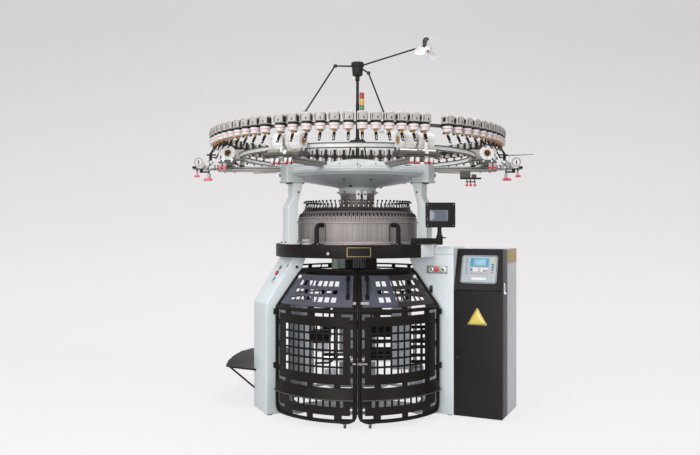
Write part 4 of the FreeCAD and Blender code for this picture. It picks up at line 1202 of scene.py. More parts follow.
    def build_guides(self) -> None:
        """Seventy-two yarn guides: a hooked finger with a dark head, a white tab and a white eye."""
        line = rounded([(446, 0, 1704), (444, 0, 1748), (452, 0, 1772), (466, 0, 1760)], 8, 3, closed=False)
        finger = pipe(line, 4.2, 8, reference=(0, 1, 0))
        head = bar(15, 12, 14, (454, 0, 1762), 0, 3, 2)
        foot = bar(12, 13, 10, (450, 0, 1713), 0, 2, 1.5)
        angles = self.angles(1.2, self.stations)
        dress("yarn_guides", [ringed([finger, head, foot], angles)], Look.BLACK_PLASTIC)
        eye = spun(oblong(2.2, 5.4, -3, 3), 1, 2, 16)
        eye = eye.placed(seated(np.array([466.0, 0, 1755.0]), (0, 1, 0), (0.5, 0, -0.86)))
        tab = bar(5, 8, 20, (456, 0, 1722), 0, 2, 1.2)
        dress("yarn_eyes", [ringed([eye, tab], angles)], Look.FEEDER_WHITE)

    def build_cylinder(self) -> None:
        """Needle cylinder with its ring gear and the dial on its shaft, which turn."""
        gear = rounded(oblong(405, 600, 1326, 1344), 2, 2)
        teeth = slab(7, 9, 16, 2.5, 0.5).placed(moved(598, 0, 1327))
        barrel = rounded(oblong(405, 425, 1343, 1665), 2, 2)
        dress("needle_barrel", [lathe(gear, sides=120), lathe(barrel, sides=120)], Look.STEEL, "needle_cylinder",
              ["needle_cylinder"])
        dress("ring_gear_teeth", [teeth.around(np.arange(120) * 3.0)], Look.DARK_STEEL, "needle_cylinder")
        needle = pipe([(427, 0, 1640), (427, 0, 1668)], 1.2, 5)
        dress("needles", [needle.around(np.arange(180) * 2.0)], Look.CHROME, "needle_cylinder")
        dial = rounded([(0, 1650), (398, 1650), (398, 1666), (360, 1675), (58, 1675), (58, 1990), (0, 1990)], 3, 2)
        dress("dial_rotor", [lathe(dial, sides=120)], Look.STEEL, "needle_dial", ["needle_dial"])


@dataclass
class Crown:
    """The top casting: hub, cone, flanged rim, shallow roof and a bracket over each pillar."""

    rim: float = 640.0
    low: float = 1838.0
    shoulder: float = 2036.0
    roof: float = 2131.0

    def build(self) -> None:
        """Casting, brackets with a bottom flange, hub flange, rim bolts."""
        body = [(62, self.low), (160, self.low), (160, 1884), (200, 1896), (self.rim - 32, 1968),
                (self.rim - 16, 1984), (self.rim, 1987), (self.rim, 2013), (self.rim - 12, 2017),
                (self.rim - 18, self.shoulder), (118, self.roof), (62, self.roof)]
        parts = [spun(body, 2.5, 2, 180)]
        hub = [(150, self.low), (172, self.low), (172, self.low + 16), (160, self.low + 20), (150, self.low + 20)]
        parts.append(spun(hub, 2, 2, 96))
        block = Surface.joined([slab(160, 160, 136, 16, 7, 4).placed(moved(600, 0, 1931)),
                                slab(172, 178, 18, 14, 4, 3).placed(moved(600, 0, 1917))])
        parts.append(block.around(COLUMNS))
        dress("crown_casting", parts, Look.CASTING, replaces=["crown"], crease=17)
        ring = hex_bolt(7, 7).placed(moved(560, 0, 2047))
        hubs = hex_bolt(6, 6).placed(facing_out(172, 0, 1848))
        under = hex_bolt(9, 6).placed(seated(np.array([430.0, 0.0, 1936.0]), (0, 1, 0), (0.17, 0, -0.98)))
        plug = hex_bolt(13, 8).placed(seated(np.array([212.0, 0.0, 1897.0]), (0, 1, 0), (0.3, 0, -0.95)))
        dress("crown_bolts", [ring.around(between_columns(15, 10)), hubs.around(range(5, 365, 45)),
                              under.around((255, 285, 135, 15)), plug.around((254, 134, 14))], Look.BOLT)
        angles = (271, 211, 331, 91, 151, 31)
        boss = lathe(oblong(0, 13, 0, 4), sides=20).placed(facing_out(self.rim - 15, 0, 2027))
        dress("crown_bosses", [boss.around(angles)], Look.STRIP)
        cap = hex_bolt(7, 4).placed(facing_out(self.rim - 11, 0, 2027))
        dress("crown_caps", [cap.around(angles)], Look.WHITE_PLASTIC)


# ---------------------------------------------------------------- rings, feeders and elastane units


@dataclass
class RingWork:
    """Radial arms with posts, the support ring and the feeder ring."""

    arm_top: float = 2068.0
    ring_bottom: float = 2269.0

    def build(self) -> None:
        """Rings first, then the arms that carry them."""
        self.build_rings()
        self.build_arms()

    def build_rings(self) -> None:
        """A pale rail between two darker edges, and the feeder ring."""
        pale = oblong(987, 1013, 2133, 2160)
        dark = [oblong(983, 1017, 2159, 2168), oblong(985, 1015, 2127, 2134)]
        dress("support_rail", [spun(pale, 1.5, 2, 180)], Look.WHITE_PLASTIC,
              replaces=["support_ring"])
        dress("support_edges", [spun(section, 1, 2, 180) for section in dark], Look.GREEN_RAIL)
        ring = rounded(oblong(1182, 1198, 2269, 2293), 1.5, 2)
        dress("feeder_rail", [lathe(ring, sides=216)], Look.DARK_STEEL, replaces=["feeder_ring"])

    def build_arms(self) -> None:
        """Arms with a lower web, posts, a brace, grooves, clamps, bolts and air lines."""
        rail = bar(645, 40, 34, (882.5, 0, 2053), 0, 3, 2.5)
        web = bar(545, 32, 14, (925, 0, 2031), 0, 3, 2)
        post = bar(20, 30, 61, (1000, 0, 2098.5), 0, 2, 1)
        middle = (self.arm_top + self.ring_bottom) / 2
        outer_post = bar(14, 13, self.ring_bottom - self.arm_top, (1190, 0, middle), 0, 2, 1)
        dress("ring_posts", [outer_post.around(ARM_ANGLES)], Look.WHITE_PLASTIC)
        brace = pipe([(1030, 0, 2072), (1184, 0, 2200)], 5, 8)
        dress("ring_bars", [ringed([rail, web, post, brace], ARM_ANGLES)], Look.RAIL,
              replaces=["ring_arms"])
        grooves = [bar(600, 1.2, 5, (880, side * 20.2, 2053), 0, 0.4, 0.3) for side in (-1, 1)]
        dress("bar_grooves", [ringed(grooves, ARM_ANGLES)], Look.BOLT)
        clamp = Surface.joined([bar(46, 56, 12, (1000, 0, 2074), 0, 3, 2), bar(30, 50, 14, (1190, 0, 2074), 0, 3, 2)])
        bolts = [hex_bolt(5, 5).placed(moved(radius, side, 2080)) for radius in (1014, 986) for side in (-20, 20)]
        pegs = [pipe([(radius, 0, 2027), (radius, 0, 2018)], 8, 12) for radius in (1060, 1140)]
        dress("bar_clamps", [ringed([clamp, *pegs], ARM_ANGLES)], Look.BLACK)
        dress("bar_bolts", [ringed(bolts, ARM_ANGLES)], Look.ZINC)
        under = [pipe([(700, side, 2022), (900, side * 0.4, 2014)], 4, 8) for side in (-18, 18)]
        dress("air_lines", [ringed(under, (357.0, 183.0))], Look.RAIL)


@dataclass
class Feeders:
    """Seventy-two yarn storage feeders hung on the ring."""

    centres: tuple[float, ...] = (268.0, 327.4, 28.0, 90.0, 150.0, 211.6)
    per_group: int = 12
    pitch: float = 4.56
    front_shift: float = 1.3
    seat: float = 2293.0
    wheel: float = 1223.0

    def angles(self) -> Array:
        """Six groups of even pitch, with a wider gap at each arm; the front row's middle sits off to the right."""
        half = (self.per_group - 1) / 2
        count = np.arange(self.per_group) - half
        angles = np.array(self.centres)[:, None] + count[None] * self.pitch
        angles[0] += self.front_shift * (1 - (count / half) ** 2)
        return angles.reshape(-1)

    def build(self) -> None:
        """Housings, wheels and guides, each finish as one piece copied round the ring."""
        self.build_housings(self.angles())
        self.build_wheels(self.angles())
        self.build_guides(self.angles())

    def build_housings(self, angles: Array) -> None:
        """A domed housing drawn through six rounded rectangles, its clamp and slot, and a dark plate over its right
        side that is painted shade.
        """
        z = self.seat
        ring = [rectangle(width, depth, corner, 3) for width, depth, corner in
                ((70, 72, 10), (76, 78, 14), (76, 78, 18), (70, 72, 20), (54, 56, 20), (30, 32, 12))]
        levels = np.array([0, 3, 50, 61, 67, 69.0])
        shell = Surface.loft(np.stack([np.c_[flat, np.full(len(flat), level)] for flat, level in zip(ring, levels)]))
        dress("feeder_shells", [shell.placed(moved(self.wheel, 0, z)).around(angles)],
              Look.FEEDER_GREY, replaces=["feeder_housings"])
        port = bar(2.4, 9, 15, (1261.0, 10, z + 19), 0, 1, 0.6)
        edge = bar(2.4, 5, 40, (1260.6, -27, z + 28), 0, 1, 0.6)
        # A thin dark plate over the housing's right side: painted shade on its shaded side.
        side = bar(46, 2, 40, (self.wheel, 39.2, z + 27), 0, 1, 0.6)
        skirt = lathe([(0, -16), (33, -16), (33, -4), (36, 0), (0, 0)], sides=18).placed(moved(self.wheel, 0, z))
        clamp = bar(22, 44, 40, (1188, 0, z - 12), 0, 3, 2)
        spine = bar(10, 26, 58, (1181, 0, z + 28), 0, 3, 2)
        stem = bar(8, 22, 56, (1182, 0, z - 40), 0, 2, 1.5)
        stripe = bar(34, 1.6, 30, (1232, -39, z + 30), 0, 0.6, 0.5)
        parts = [port, edge, side, skirt, clamp, spine, stem, stripe]
        dress("feeder_ports", [ringed(parts, angles)], Look.BOLT)

    def build_wheels(self, angles: Array) -> None:
        """A white storage wheel with a flange, a thin red line, and the orange cone below."""
        spot = moved(self.wheel, 0, self.seat - 60)
        drum = [(0, 0), (33, 0), (37.5, 4), (36.5, 9), (36.5, 34), (38.5, 38), (38.5, 43), (0, 43)]
        dress("yarn_wheels", [spun(drum, 2, 2, 20).placed(spot).around(angles)], Look.FEEDER_WHITE,
              replaces=["feeder_wheels"])
        band = lathe(oblong(35, 37.3, 22, 26.5), sides=20)
        dress("wheel_bands", [band.placed(spot).around(angles)], Look.PINK_LINE)
        belt = lathe(oblong(35, 37, 11, 13), sides=20)
        dress("wheel_belts", [belt.placed(spot).around(angles)], Look.ZINC)
        cone = spun([(0, -25), (6, -25), (9, -13), (18, -3), (18, 0), (0, 0)], 2, 2, 14)
        dress("feeder_cones", [cone.placed(spot).around(angles)], Look.ORANGE_PLASTIC)

    def build_guides(self, angles: Array) -> None:
        """A flat looped guide that leans outwards under each wheel, with its stem and a white eye."""
        start = np.array([self.wheel + 3, 0.0, self.seat - 83])
        place = seated(start, (0, 1, 0), (-0.863, 0, -0.506))
        loop = perforated((-11, 11), (0, 66), [(-2.8, 2.8, 18, 46)], 8,
                          lambda u, v, w: np.stack([u * (1 - 0.25 * v / 64), v, w - 3.5], -1), 20, 80)
        stem = pipe([(self.wheel, 0, self.seat - 78), tuple(start + (4, 0, -6))], 6, 8)
        dress("feeder_loops", [ringed([loop.placed(place), stem], angles)], Look.BLACK_PLASTIC)
        eye = spun(oblong(2.2, 5, -2.5, 2.5), 0.8, 2, 12)
        eye = eye.placed(place @ moved(0, 56, -5))
        dress("feeder_eyes", [eye.around(angles)], Look.FEEDER_WHITE)


@dataclass
class ElastaneUnits:
    """Six units that unwind elastane: rollers between end plates, two packages, and yarn sensors."""

    centre: float = 1102.0
    bobbin: float = 62.0
    axis: float = 2173.5

    def build(self) -> None:
        """What all six share, then the front and back fittings, then those at the sides."""
        self.build_frames()
        self.build_packages()
        self.build_fronts(FRONT_UNITS + BACK_UNITS)
        self.build_sides()

    def build_frames(self) -> None:
        """Base plate, three low end plates, two rollers and their caps."""
        c = self.centre
        plate = bar(135, 312, 6, (c, 0, 2073), 0, 8, 2)
        ends = [bar(118, 7, 40, (c, side, 2095), 0, 10, 2) for side in (-152, 0, 152)]
        dress("unit_plates", [ringed([plate, *ends], UNIT_ANGLES)], Look.GREY_IRON,
              replaces=["elastane_frames"])
        axles = (c - 35, c + 35)
        rollers = [pipe([(r, -149, 2104), (r, 149, 2104)], 15, 20) for r in axles]
        dress("unit_rollers", [ringed(rollers, UNIT_ANGLES)], Look.CHROME)
        caps = [pipe([(r, side * 155, 2104), (r, side * 160, 2104)], 9, 14) for r in axles for side in (-1, 1)]
        dress("roller_caps", [ringed(caps, UNIT_ANGLES)], Look.FEEDER_WHITE)

    def build_packages(self) -> None:
        """Two yarn packages on card tubes in each unit, resting on the rollers."""
        r = self.bobbin
        package = rounded([(29, 0), (r - 2, 0), (r, 5), (r, 119), (r - 2, 124), (29, 124)], 4, 3)
        core = rounded(oblong(25.5, 29.5, -5, 129), 1, 2)
        line = oblong(r - 1, r + 0.7, 30, 33)
        seats = [seated(np.array([self.centre, y, self.axis]), (1, 0, 0), (0, 1, 0)) for y in (-136.0, 12.0)]
        for name, section, look, slot in (("yarn_packages", package, Look.YARN, "card"),
                                          ("package_cores", core, Look.CARD, "card"),
                                          ("package_lines", line, Look.PINK_LINE, "red_plastic")):
            part = lathe(section, sides=40)
            dress(name, [ringed([part.placed(seat) for seat in seats], UNIT_ANGLES)], look,
                  replaces=["elastane_bobbins"] if look is Look.YARN else ())

    def build_fronts(self, angles: Sequence[float]) -> None:
        """A grey housing bar outside the rollers with a brass edge, a white knob and four sensors."""
        housing = [bar(62, 310, 34, (1169, 0, 2067), 0, 6, 3), bar(8, 300, 22, (1202, 0, 2067), 0, 3, 2)]
        slots = bar(2, 250, 5, (1206.4, -10, 2063), 0, 0.8, 0.5)
        dress("unit_housings", [ringed(housing, angles)], Look.GREY_IRON)
        dress("housing_edges", [bar(60, 300, 3, (1172, 0, 2085.5), 0, 2, 1).around(angles)], Look.BRASS_PLASTIC)
        knob = spun([(0, 0), (17, 0), (17, 8), (9, 13), (0, 13)], 3, 3, 28)
        dress("housing_knobs", [knob.placed(facing_out(1204, 43, 2086)).around(angles)], Look.FEEDER_WHITE)
        spots = (-70, -25, 45, 85)
        cases = [bar(30, 27, 34, (1190, y, 2030), 0, 7, 4) for y in spots]
        dress("sensor_cases", [ringed(cases, angles)], Look.FEEDER_WHITE)
        tips = [bar(24, 24, 16, (1190, y, 2006), 0, 5, 4) for y in spots]
        dress("sensor_tips", [ringed(tips, angles)], Look.RED_PLASTIC)
        levers = [pipe([(1176, y + 14, 2048), (1206, y + 15, 2022), (1204, y + 12, 1996)], 3, 8, reference=(0, 1, 0))
                  for y in spots]
        dress("sensor_levers", [ringed([slots, *levers], angles)], Look.BLACK_PLASTIC)

    def build_sides(self) -> None:
        """The units that are seen end on: brackets, ring guide, levers and sensors, mirrored left and right."""
        def both(name: str, parts: Sequence[Surface], look: Look, extra: Sequence[Surface] = ()) -> None:
            """Dresses the parts on the right with their mirror image on the left."""
            group = Surface.joined(list(parts))
            dress(name, [group, group.placed(MIRROR), *extra], look)

        out, front = 1340.0, -188.0
        rails = [bar(215, 14, 14, (1298, y, 2048), -3, 2, 1.5) for y in (-116, -18)]
        cross = [bar(16, 128, 12, (x, -66, 2048), -3, 2, 1.5) for x in (1206, 1300, 1396)]
        shelf = [bar(96, 150, 8, (1003, -112, 2124), 0, 4, 2), bar(24, 24, 56, (985, -60, 2096), 0, 3, 2)]
        both("side_rails", [*rails, *cross, *shelf], Look.RAIL)
        ring = spun(oblong(29, 40, -5, 5), 2.5, 3, 40)
        both("side_rings", [ring.placed(facing_eye(out, front, 2098))], Look.FEEDER_GREY)
        blocks = [slab(84, 66, 76, 10, 6, 3).placed(moved(1000, -140, 2128)),
                  *(bar(32, 28, 36, (x, -210, 2070), 0, 10, 5) for x in (1116, 1154)),
                  pipe([(1252, front, 1960), (1252, front, 1998)], 14, 20),
                  pipe([(1352, front, 1984), (1352, front, 2006)], 8, 16)]
        both("side_blocks", blocks, Look.FEEDER_GREY)
        grey = [pipe([(1318, front + 4, 2044), (1250, front + 4, 2112)], 7, 12),
                pipe([(1290, front + 18, 2034), (1216, front + 18, 2100)], 7, 12),
                pipe([(1262, front + 30, 2030), (1198, front + 30, 2078)], 7, 12),
                pipe([(1268, front - 4, 2082), (1268, front + 40, 2082)], 19, 24),
                pipe([(1222, front, 2060), (1222, front + 44, 2060)], 16, 24),
                bar(20, 16, 60, (1300, -120, 2070), 0, 3, 2), bar(20, 130, 12, (1240, -130, 2044), 0, 3, 2)]
        both("side_levers", grey, Look.ZINC)
        rods = [pipe([(1104, -206, 2104), (992, -206, 2054)], 4, 10),
                pipe([(1130, -206, 2094), (1010, -200, 2056)], 3, 10)]
        both("side_rods", rods, Look.FEEDER_WHITE)
        dark = [bar(76, 26, 11, (1234, front + 6, 2158), 0, 3, 2), bar(22, 18, 44, (1240, front + 6, 2132), 0, 3, 2),
                bar(58, 14, 9, (1222, front - 4, 2136), 0, 2, 1.5), bar(34, 20, 20, (1376, front, 2052), 0, 5, 3),
                pipe([(1352, front, 2050), (1352, front, 2004)], 5, 12),
                bar(84, 22, 13, (1290, front + 6, 2014), 0, 4, 2),
                pipe([(1252, front, 2030), (1252, front, 1996)], 6, 12),
                bar(26, 18, 30, (1318, front + 8, 2026), 0, 4, 2), bar(92, 100, 9, (1126, -160, 2094), 0, 3, 2),
                pipe([(out, front, 2078), (out, front, 2112)], 4.5, 10)]
        hanging = [slab(176, 40, 13, 4, 2).placed(moved(972, -80, 1960)),
                   *(pipe([(x, -84, 1960), (x + 4, -88, 1916)], 4, 10) for x in (937, 967, 1003)),
                   bar(84, 26, 8, (972, -84, 1938), 0, 3, 2)]
        both("side_fittings", dark, Look.BLACK_PLASTIC, hanging)
        tips = [bar(44, 22, 19, (1354, front, 1978), 0, 6, 4), bar(72, 24, 21, (1260, front, 1950), 0, 6, 4),
                *(bar(28, 26, 24, (x, -214, 2043), 0, 6, 4) for x in (1116, 1154))]
        drops = [bar(24, 22, 20, (x, -88, 1908), 0, 6, 4) for x in (938, 970, 1006)]
        both("side_tips", tips, Look.RED_PLASTIC, drops)
        dress("hanging_case", [slab(84, 60, 62, 6, 4).placed(moved(926, -70, 1966)),
                               slab(40, 36, 30, 5, 3).placed(moved(1000, -76, 1972))], Look.GREY_IRON)
        dress("feeler_rod", [pipe([(1252, -186, 2152), (1392, -560, 2124)], [4.5, 3.2], 12)], Look.ZINC)


# ---------------------------------------------------------------- mast, blower and signal tower


@dataclass(frozen=True)
class Fan:
    """One fan: its body, its centre, how far it leans, its motor's size and the reach of its blades."""

    name: str
    centre: tuple[float, float, float]
    lean: float
    motor_radius: float
    motor_length: float
    reach: float

    def place(self) -> Array:
        """Where the fan's centre goes."""
        return moved(*self.centre) @ turned(-self.lean, "x")

    def motor(self) -> Surface:
        """The motor above the blades."""
        radius, length = self.motor_radius, self.motor_length
        outline = [(0, 16.5), (radius * 0.8, 16.5), (radius * 0.96, 26), (radius * 0.96, length - 24),
                   (radius * 0.8, length + 10), (0, length + 16)]
        return spun(outline, 6, 3, 32).placed(self.place())


@dataclass
class Blower:
    """Mast on its trestle, hub with three arms and motors, three fans, and the signal tower."""

    fans: tuple[Fan, ...] = (Fan("left_fan", (-454, 60, 2484), 0, 30, 72, 88),
                             Fan("right_fan", (262, 40, 2384), 0, 30, 75, 88),
                             Fan("top_fan", (607, -30, 3084), 50, 36, 180, 118))

    def build(self) -> None:
        """Fixed parts first, then what turns."""
        self.build_mast()
        self.build_hub()
        for fan in self.fans:
            self.build_fan(fan.name, fan.place(), fan.reach)
        self.build_tower()

    def build_mast(self) -> None:
        """Tube with a sleeve, trestle of three struts, foot and flange plates."""
        tube = spun([(0, 2040), (15, 2040), (15, 2620), (12.5, 2630), (12.5, 2858), (0, 2858)], 2, 2, 28)
        collar = spun(oblong(0, 19, 2820, 2860), 3, 2, 28)
        foot = spun([(0, 2126), (116, 2126), (116, 2142), (26, 2147), (19, 2170), (0, 2170)], 3, 2, 48)
        flange = spun([(0, 2288), (70, 2288), (70, 2300), (22, 2302), (18, 2330), (0, 2330)], 3, 2, 48)
        struts = [pipe([polar(95, angle, 2138), polar(60, angle, 2294)], 7, 12) for angle in (30, 150, 270)]
        dress("mast_tube", [tube, collar, foot, flange, *struts], Look.IRON, replaces=["mast"])
        bolts = [hex_bolt(7, 6).placed(moved(102, 0, 2142)), hex_bolt(5, 5).placed(moved(56, 0, 2299.5))]
        dress("mast_bolts", [ringed(bolts, range(0, 360, 60))], Look.BOLT)

    def build_hub(self) -> None:
        """A tapering drum under a thick flange, three arms with clamps at their bends, and the motors."""
        drum = [(0, 2862), (30, 2862), (43, 2867), (49, 2938), (51, 2944), (55, 2946), (55, 2974), (51, 2980),
                (0, 2982)]
        parts = [spun(drum, 2, 2, 40)]
        paths = [[(-40, 0, 2948), (-196, 0, 2951), (-454, 60, 2569)], [(40, 0, 2925), (96, 0, 2889), (262, 40, 2470)],
                 [(40, 0, 2955), (590, 36, 3135)]]
        for path in paths:
            parts.append(pipe(rounded(path, 10, 4, closed=False), 7, 12))
        parts += [fan.motor() for fan in self.fans]
        knots = [slab(30, 26, 26, 6, 4).placed(moved(x, y, z - 13)) for x, y, z in ((-194, 0, 2950), (96, 0, 2889))]
        dress("blower_hub", parts + knots, Look.IRON, "fan_hub", ["fan_hub"])

    def build_fan(self, name: str, place: Array, reach: float) -> None:
        """Three blades, each a grid whose width and pitch fall towards the tip, on a red boss.

        Args:
            name: The body and node.
            place: Where the fan's centre goes.
            reach: Radius of the blade tips.
        """
        share, chord = np.meshgrid(np.linspace(0, 1, 9), np.linspace(-1, 1, 9), indexing="ij")
        radius = 24 + (reach - 25) * share
        width = (22 + 14 * np.sin(np.pi * share**0.8) + 4 * share) * np.sqrt(np.clip(1 - share**6, 0.15, 1))
        pitch = np.radians(32 - 16 * share)
        camber = width * chord * np.sin(pitch) * 0.7 + 3 * (1 - chord**2)
        skins = [np.stack([radius, width * chord * np.cos(pitch), camber + half], -1) for half in (1.1, -1.1)]
        ring = np.concatenate([skins[0], skins[1][:, ::-1]], 1)
        blade = Surface.loft(ring)
        blades = blade.repeated(np.stack([place @ turned(50 + 120 * number) for number in range(3)]))
        dress(f"{name}_blades", [blades], Look.WHITE_PLASTIC, name, [name])
        boss = rounded([(0, -20), (16, -20), (26, -12), (28, 0), (28, 15.5), (0, 15.5)], 4, 3)
        dress(f"{name}_boss", [lathe(boss, sides=32).placed(place)], Look.WHITE_PLASTIC, name)
        cap = spun([(0, -27), (9, -26), (13, -20), (0, -20)], 2, 3, 24).placed(place)
        dress(f"{name}_cap", [cap], Look.RED_PLASTIC, name)

    def build_tower(self) -> None:
        """Stacked lenses over a black foot, on a bracket from the mast."""
        spot = moved(38, -24, 0)
        rows = (("green", 2562, 2600, Look.LAMP_GREEN), ("amber", 2601, 2661, Look.LAMP_AMBER),
                ("red", 2662, 2708, Look.LAMP_RED))
        for colour, low, high, look in rows:
            lens = spun(oblong(0, 20.5, low, high), 2.5, 3, 32)
            dress(f"lens_{colour}", [lens.placed(spot)], look)
        foot = rounded([(0, 2480), (14, 2480), (14, 2530), (21, 2536), (21, 2562), (0, 2562)], 2, 2)
        cap = rounded([(0, 2707), (21, 2707), (20, 2711), (0, 2712)], 1, 2)
        rings = [rounded(oblong(18, 21, level, level + 1.6), 0.5, 1) for level in (2599.6, 2660.6)]
        parts = [lathe(section, sides=32).placed(spot) for section in (foot, cap, *rings)]
        dress("tower_foot", [*parts, bar(30, 16, 12, (22, -15, 2492), -32)], Look.BLACK_PLASTIC,
              replaces=["signal_tower"])


# ---------------------------------------------------------------- handles, buttons and screen


@dataclass
class Handles:
    """Two bent grab handles in front of the cover, and the air bracket beside the left one."""

    angles: tuple[float, float] = (237.0, 303.0)
    bracket: float = 226.0

    def build(self) -> None:
        """Handles first, then the bracket."""
        self.build_handles()
        self.build_bracket()

    def build_handles(self) -> None:
        """Bent tubes, foot plates with bolts, and end collars."""
        parts, bolts = [], []
        for angle in self.angles:
            path = np.stack([polar(radius, angle, height) for radius, height
                             in ((600, 1408), (600, 1538), (582, 1562), (519, 1566))])
            parts.append(pipe(resampled(rounded(path, 16, 5, closed=False), 6), 19, 24))
            parts.append(bar(70, 90, 8, polar(610, angle, 1407), angle, 8, 2))
            parts.append(spun([(0, 0), (25, 0), (25, 10), (19, 14), (0, 14)], 2, 2, 28).placed(
                moved(*polar(600, angle, 1410))))
            bolts += [hex_bolt(6, 6).placed(moved(*polar(630, angle + side, 1411))) for side in (-3, 3)]
        dress("grab_tubes", parts, Look.BLACK_PLASTIC, replaces=["grab_handles"])
        dress("grab_bolts", bolts, Look.ZINC)

    def build_bracket(self) -> None:
        """A small angle plate with a roll and two screws."""
        angle = self.bracket
        foot = bar(34, 86, 12, polar(590, angle, 1410), angle, 5, 2)
        cheek = bar(14, 84, 38, polar(584, angle, 1430), angle, 5, 2)
        roll = pipe([polar(600, angle - 4, 1440), polar(600, angle + 4, 1440)], 9, 16)
        dress("air_bracket", [foot, cheek, roll], Look.FEEDER_GREY)
        marks = [hex_bolt(5, 4).placed(seated(polar(591, angle + side, 1436), (0, 0, 1), polar(1, angle, 0)))
                 for side in (-2.6, 2.6)]
        dress("air_bracket_bolts", marks, Look.BOLT)


@dataclass
class ButtonStation:
    """A plate with three push buttons in bezels."""

    side: str
    place: Array
    names: tuple[str, str, str]
    looks: tuple[Look, Look, Look]
    plate_look: Look

    @staticmethod
    def both() -> list[ButtonStation]:
        """The stations on the left column's slope and on the housing's front."""
        return [ButtonStation("left", on_slope(0.62, -120),
                              ("left_button_upper", "left_button_stop", "left_button_lower"),
                              (Look.PALE_PLASTIC, Look.RED_PLASTIC, Look.GREEN_PLASTIC), Look.MINT),
                ButtonStation("right", on_housing(728, 0, 1198),
                              ("right_button_yellow", "right_button_stop", "right_button_green"),
                              (Look.BRASS_PLASTIC, Look.RED_PLASTIC, Look.GREEN_PLASTIC), Look.ZINC)]

    def build(self, with_plate: bool) -> None:
        """Plate, bezels and buttons; one station's plate stands for both CAD plates."""
        plate = slab(176, 64, 9, 5, 2).placed(self.place)
        screws = [hex_bolt(3.4, 2.4).placed(self.place @ moved(x, y, 9)) for x in (-80, 80) for y in (-24, 24)]
        dress(f"{self.side}_plate", [plate], self.plate_look, replaces=["button_plates"] if with_plate else ())
        dress(f"{self.side}_plate_screws", screws, Look.BOLT)
        bezels = []
        for number, (name, look) in enumerate(zip(self.names, self.looks)):
            stop = number == 1
            radius = 16.0 if stop else 13.0
            spot = self.place @ moved((number - 1) * 53, 0, 0)
            high = 26.0 if stop else 19.5
            crest = radius + (4.5 if stop else 0)
            ring = rounded([(crest + 1, 8.5), (radius + 7, 8.5), (radius + 6.5, 12.5), (crest + 1, 12.8)], 0.8, 2)
            bezels.append(lathe(ring, sides=32).placed(spot))
            cap = [(0, 5), (radius - 1, 5), (radius - 1, 14), (crest, 16.5), (crest, high - 2.5), (crest - 4, high),
                   (0, high)]
            dress(f"{name}_cap", [spun(cap, 2, 3, 32).placed(spot)], look, name, [name])
        dress(f"{self.side}_bezels", bezels, Look.CHROME if self.side == "right" else Look.STRIP)


@dataclass
class OperatorScreen:
    """The swinging arm and the screen on its post."""

    stem: tuple[float, float] = (665.0, -420.0)
    middle: float = 1646.0

    def build(self) -> None:
        """Arm with knuckles, post, housing with a raised bezel, display and screws."""
        x, y = self.stem
        boss = spun([(0, 1403.5), (24, 1403.5), (24, 1454), (18, 1459), (0, 1459)], 3, 3, 32)
        knuckle = spun([(0, 1405), (27, 1405), (27, 1478), (22, 1483), (0, 1483)], 4, 3, 32)
        beam = bar(214, 44, 48, (560, -435, 1435), math.degrees(math.atan2(30, 210)), 8, 5)
        lever = pipe([(x + 20, y - 14, 1462), (x + 50, y - 30, 1462)], 5, 12)
        dress("screen_beam", [boss.placed(moved(455, -450)), knuckle.placed(moved(x, y)), beam, lever], Look.BLACK,
              "screen_arm", ["screen_arm"])
        post = spun([(0, 1483.5), (20, 1483.5), (20, 1500), (17, 1504), (17, 1552), (0, 1552)], 2, 2, 28)
        case = slab(236, 198, 46, 12, 6, 4).placed(facing_eye(x + 5, y + 18, self.middle))
        rim = slab(240, 202, 8, 10, 2.5, 3).placed(facing_eye(x + 5, y - 24, self.middle))
        dress("screen_case", [post.placed(moved(x, y)), case, rim], Look.CHARCOAL, "screen_housing",
              ["screen_housing"])
        face = facing_eye(x - 8, y - 32.2, self.middle - 4)
        frame = perforated((-80, 80), (-52, 52), [(-74, 74, -46, 46)], 2.2, flat_sheet, 200, 200).placed(face)
        dress("screen_bezel", [frame], Look.BLACK_PLASTIC, "screen_housing")
        dress("screen_glass", [slab(150, 94, 1.4, 2, 0.5).placed(face)], Look.DISPLAY, "screen_housing")
        screw = lathe([(0, 0), (4, 0), (4, 1.6), (2.8, 2.6), (0, 2.6)], sides=16)
        screws = [screw.placed(facing_eye(x + 5 + across, y - 32, self.middle + up))
                  for across, up in ((-106, 84), (106, 84), (-106, -84), (106, -84), (-106, -34))]
        dress("screen_screws", screws, Look.ZINC, "screen_housing")


# ---------------------------------------------------------------- electrical cabinet


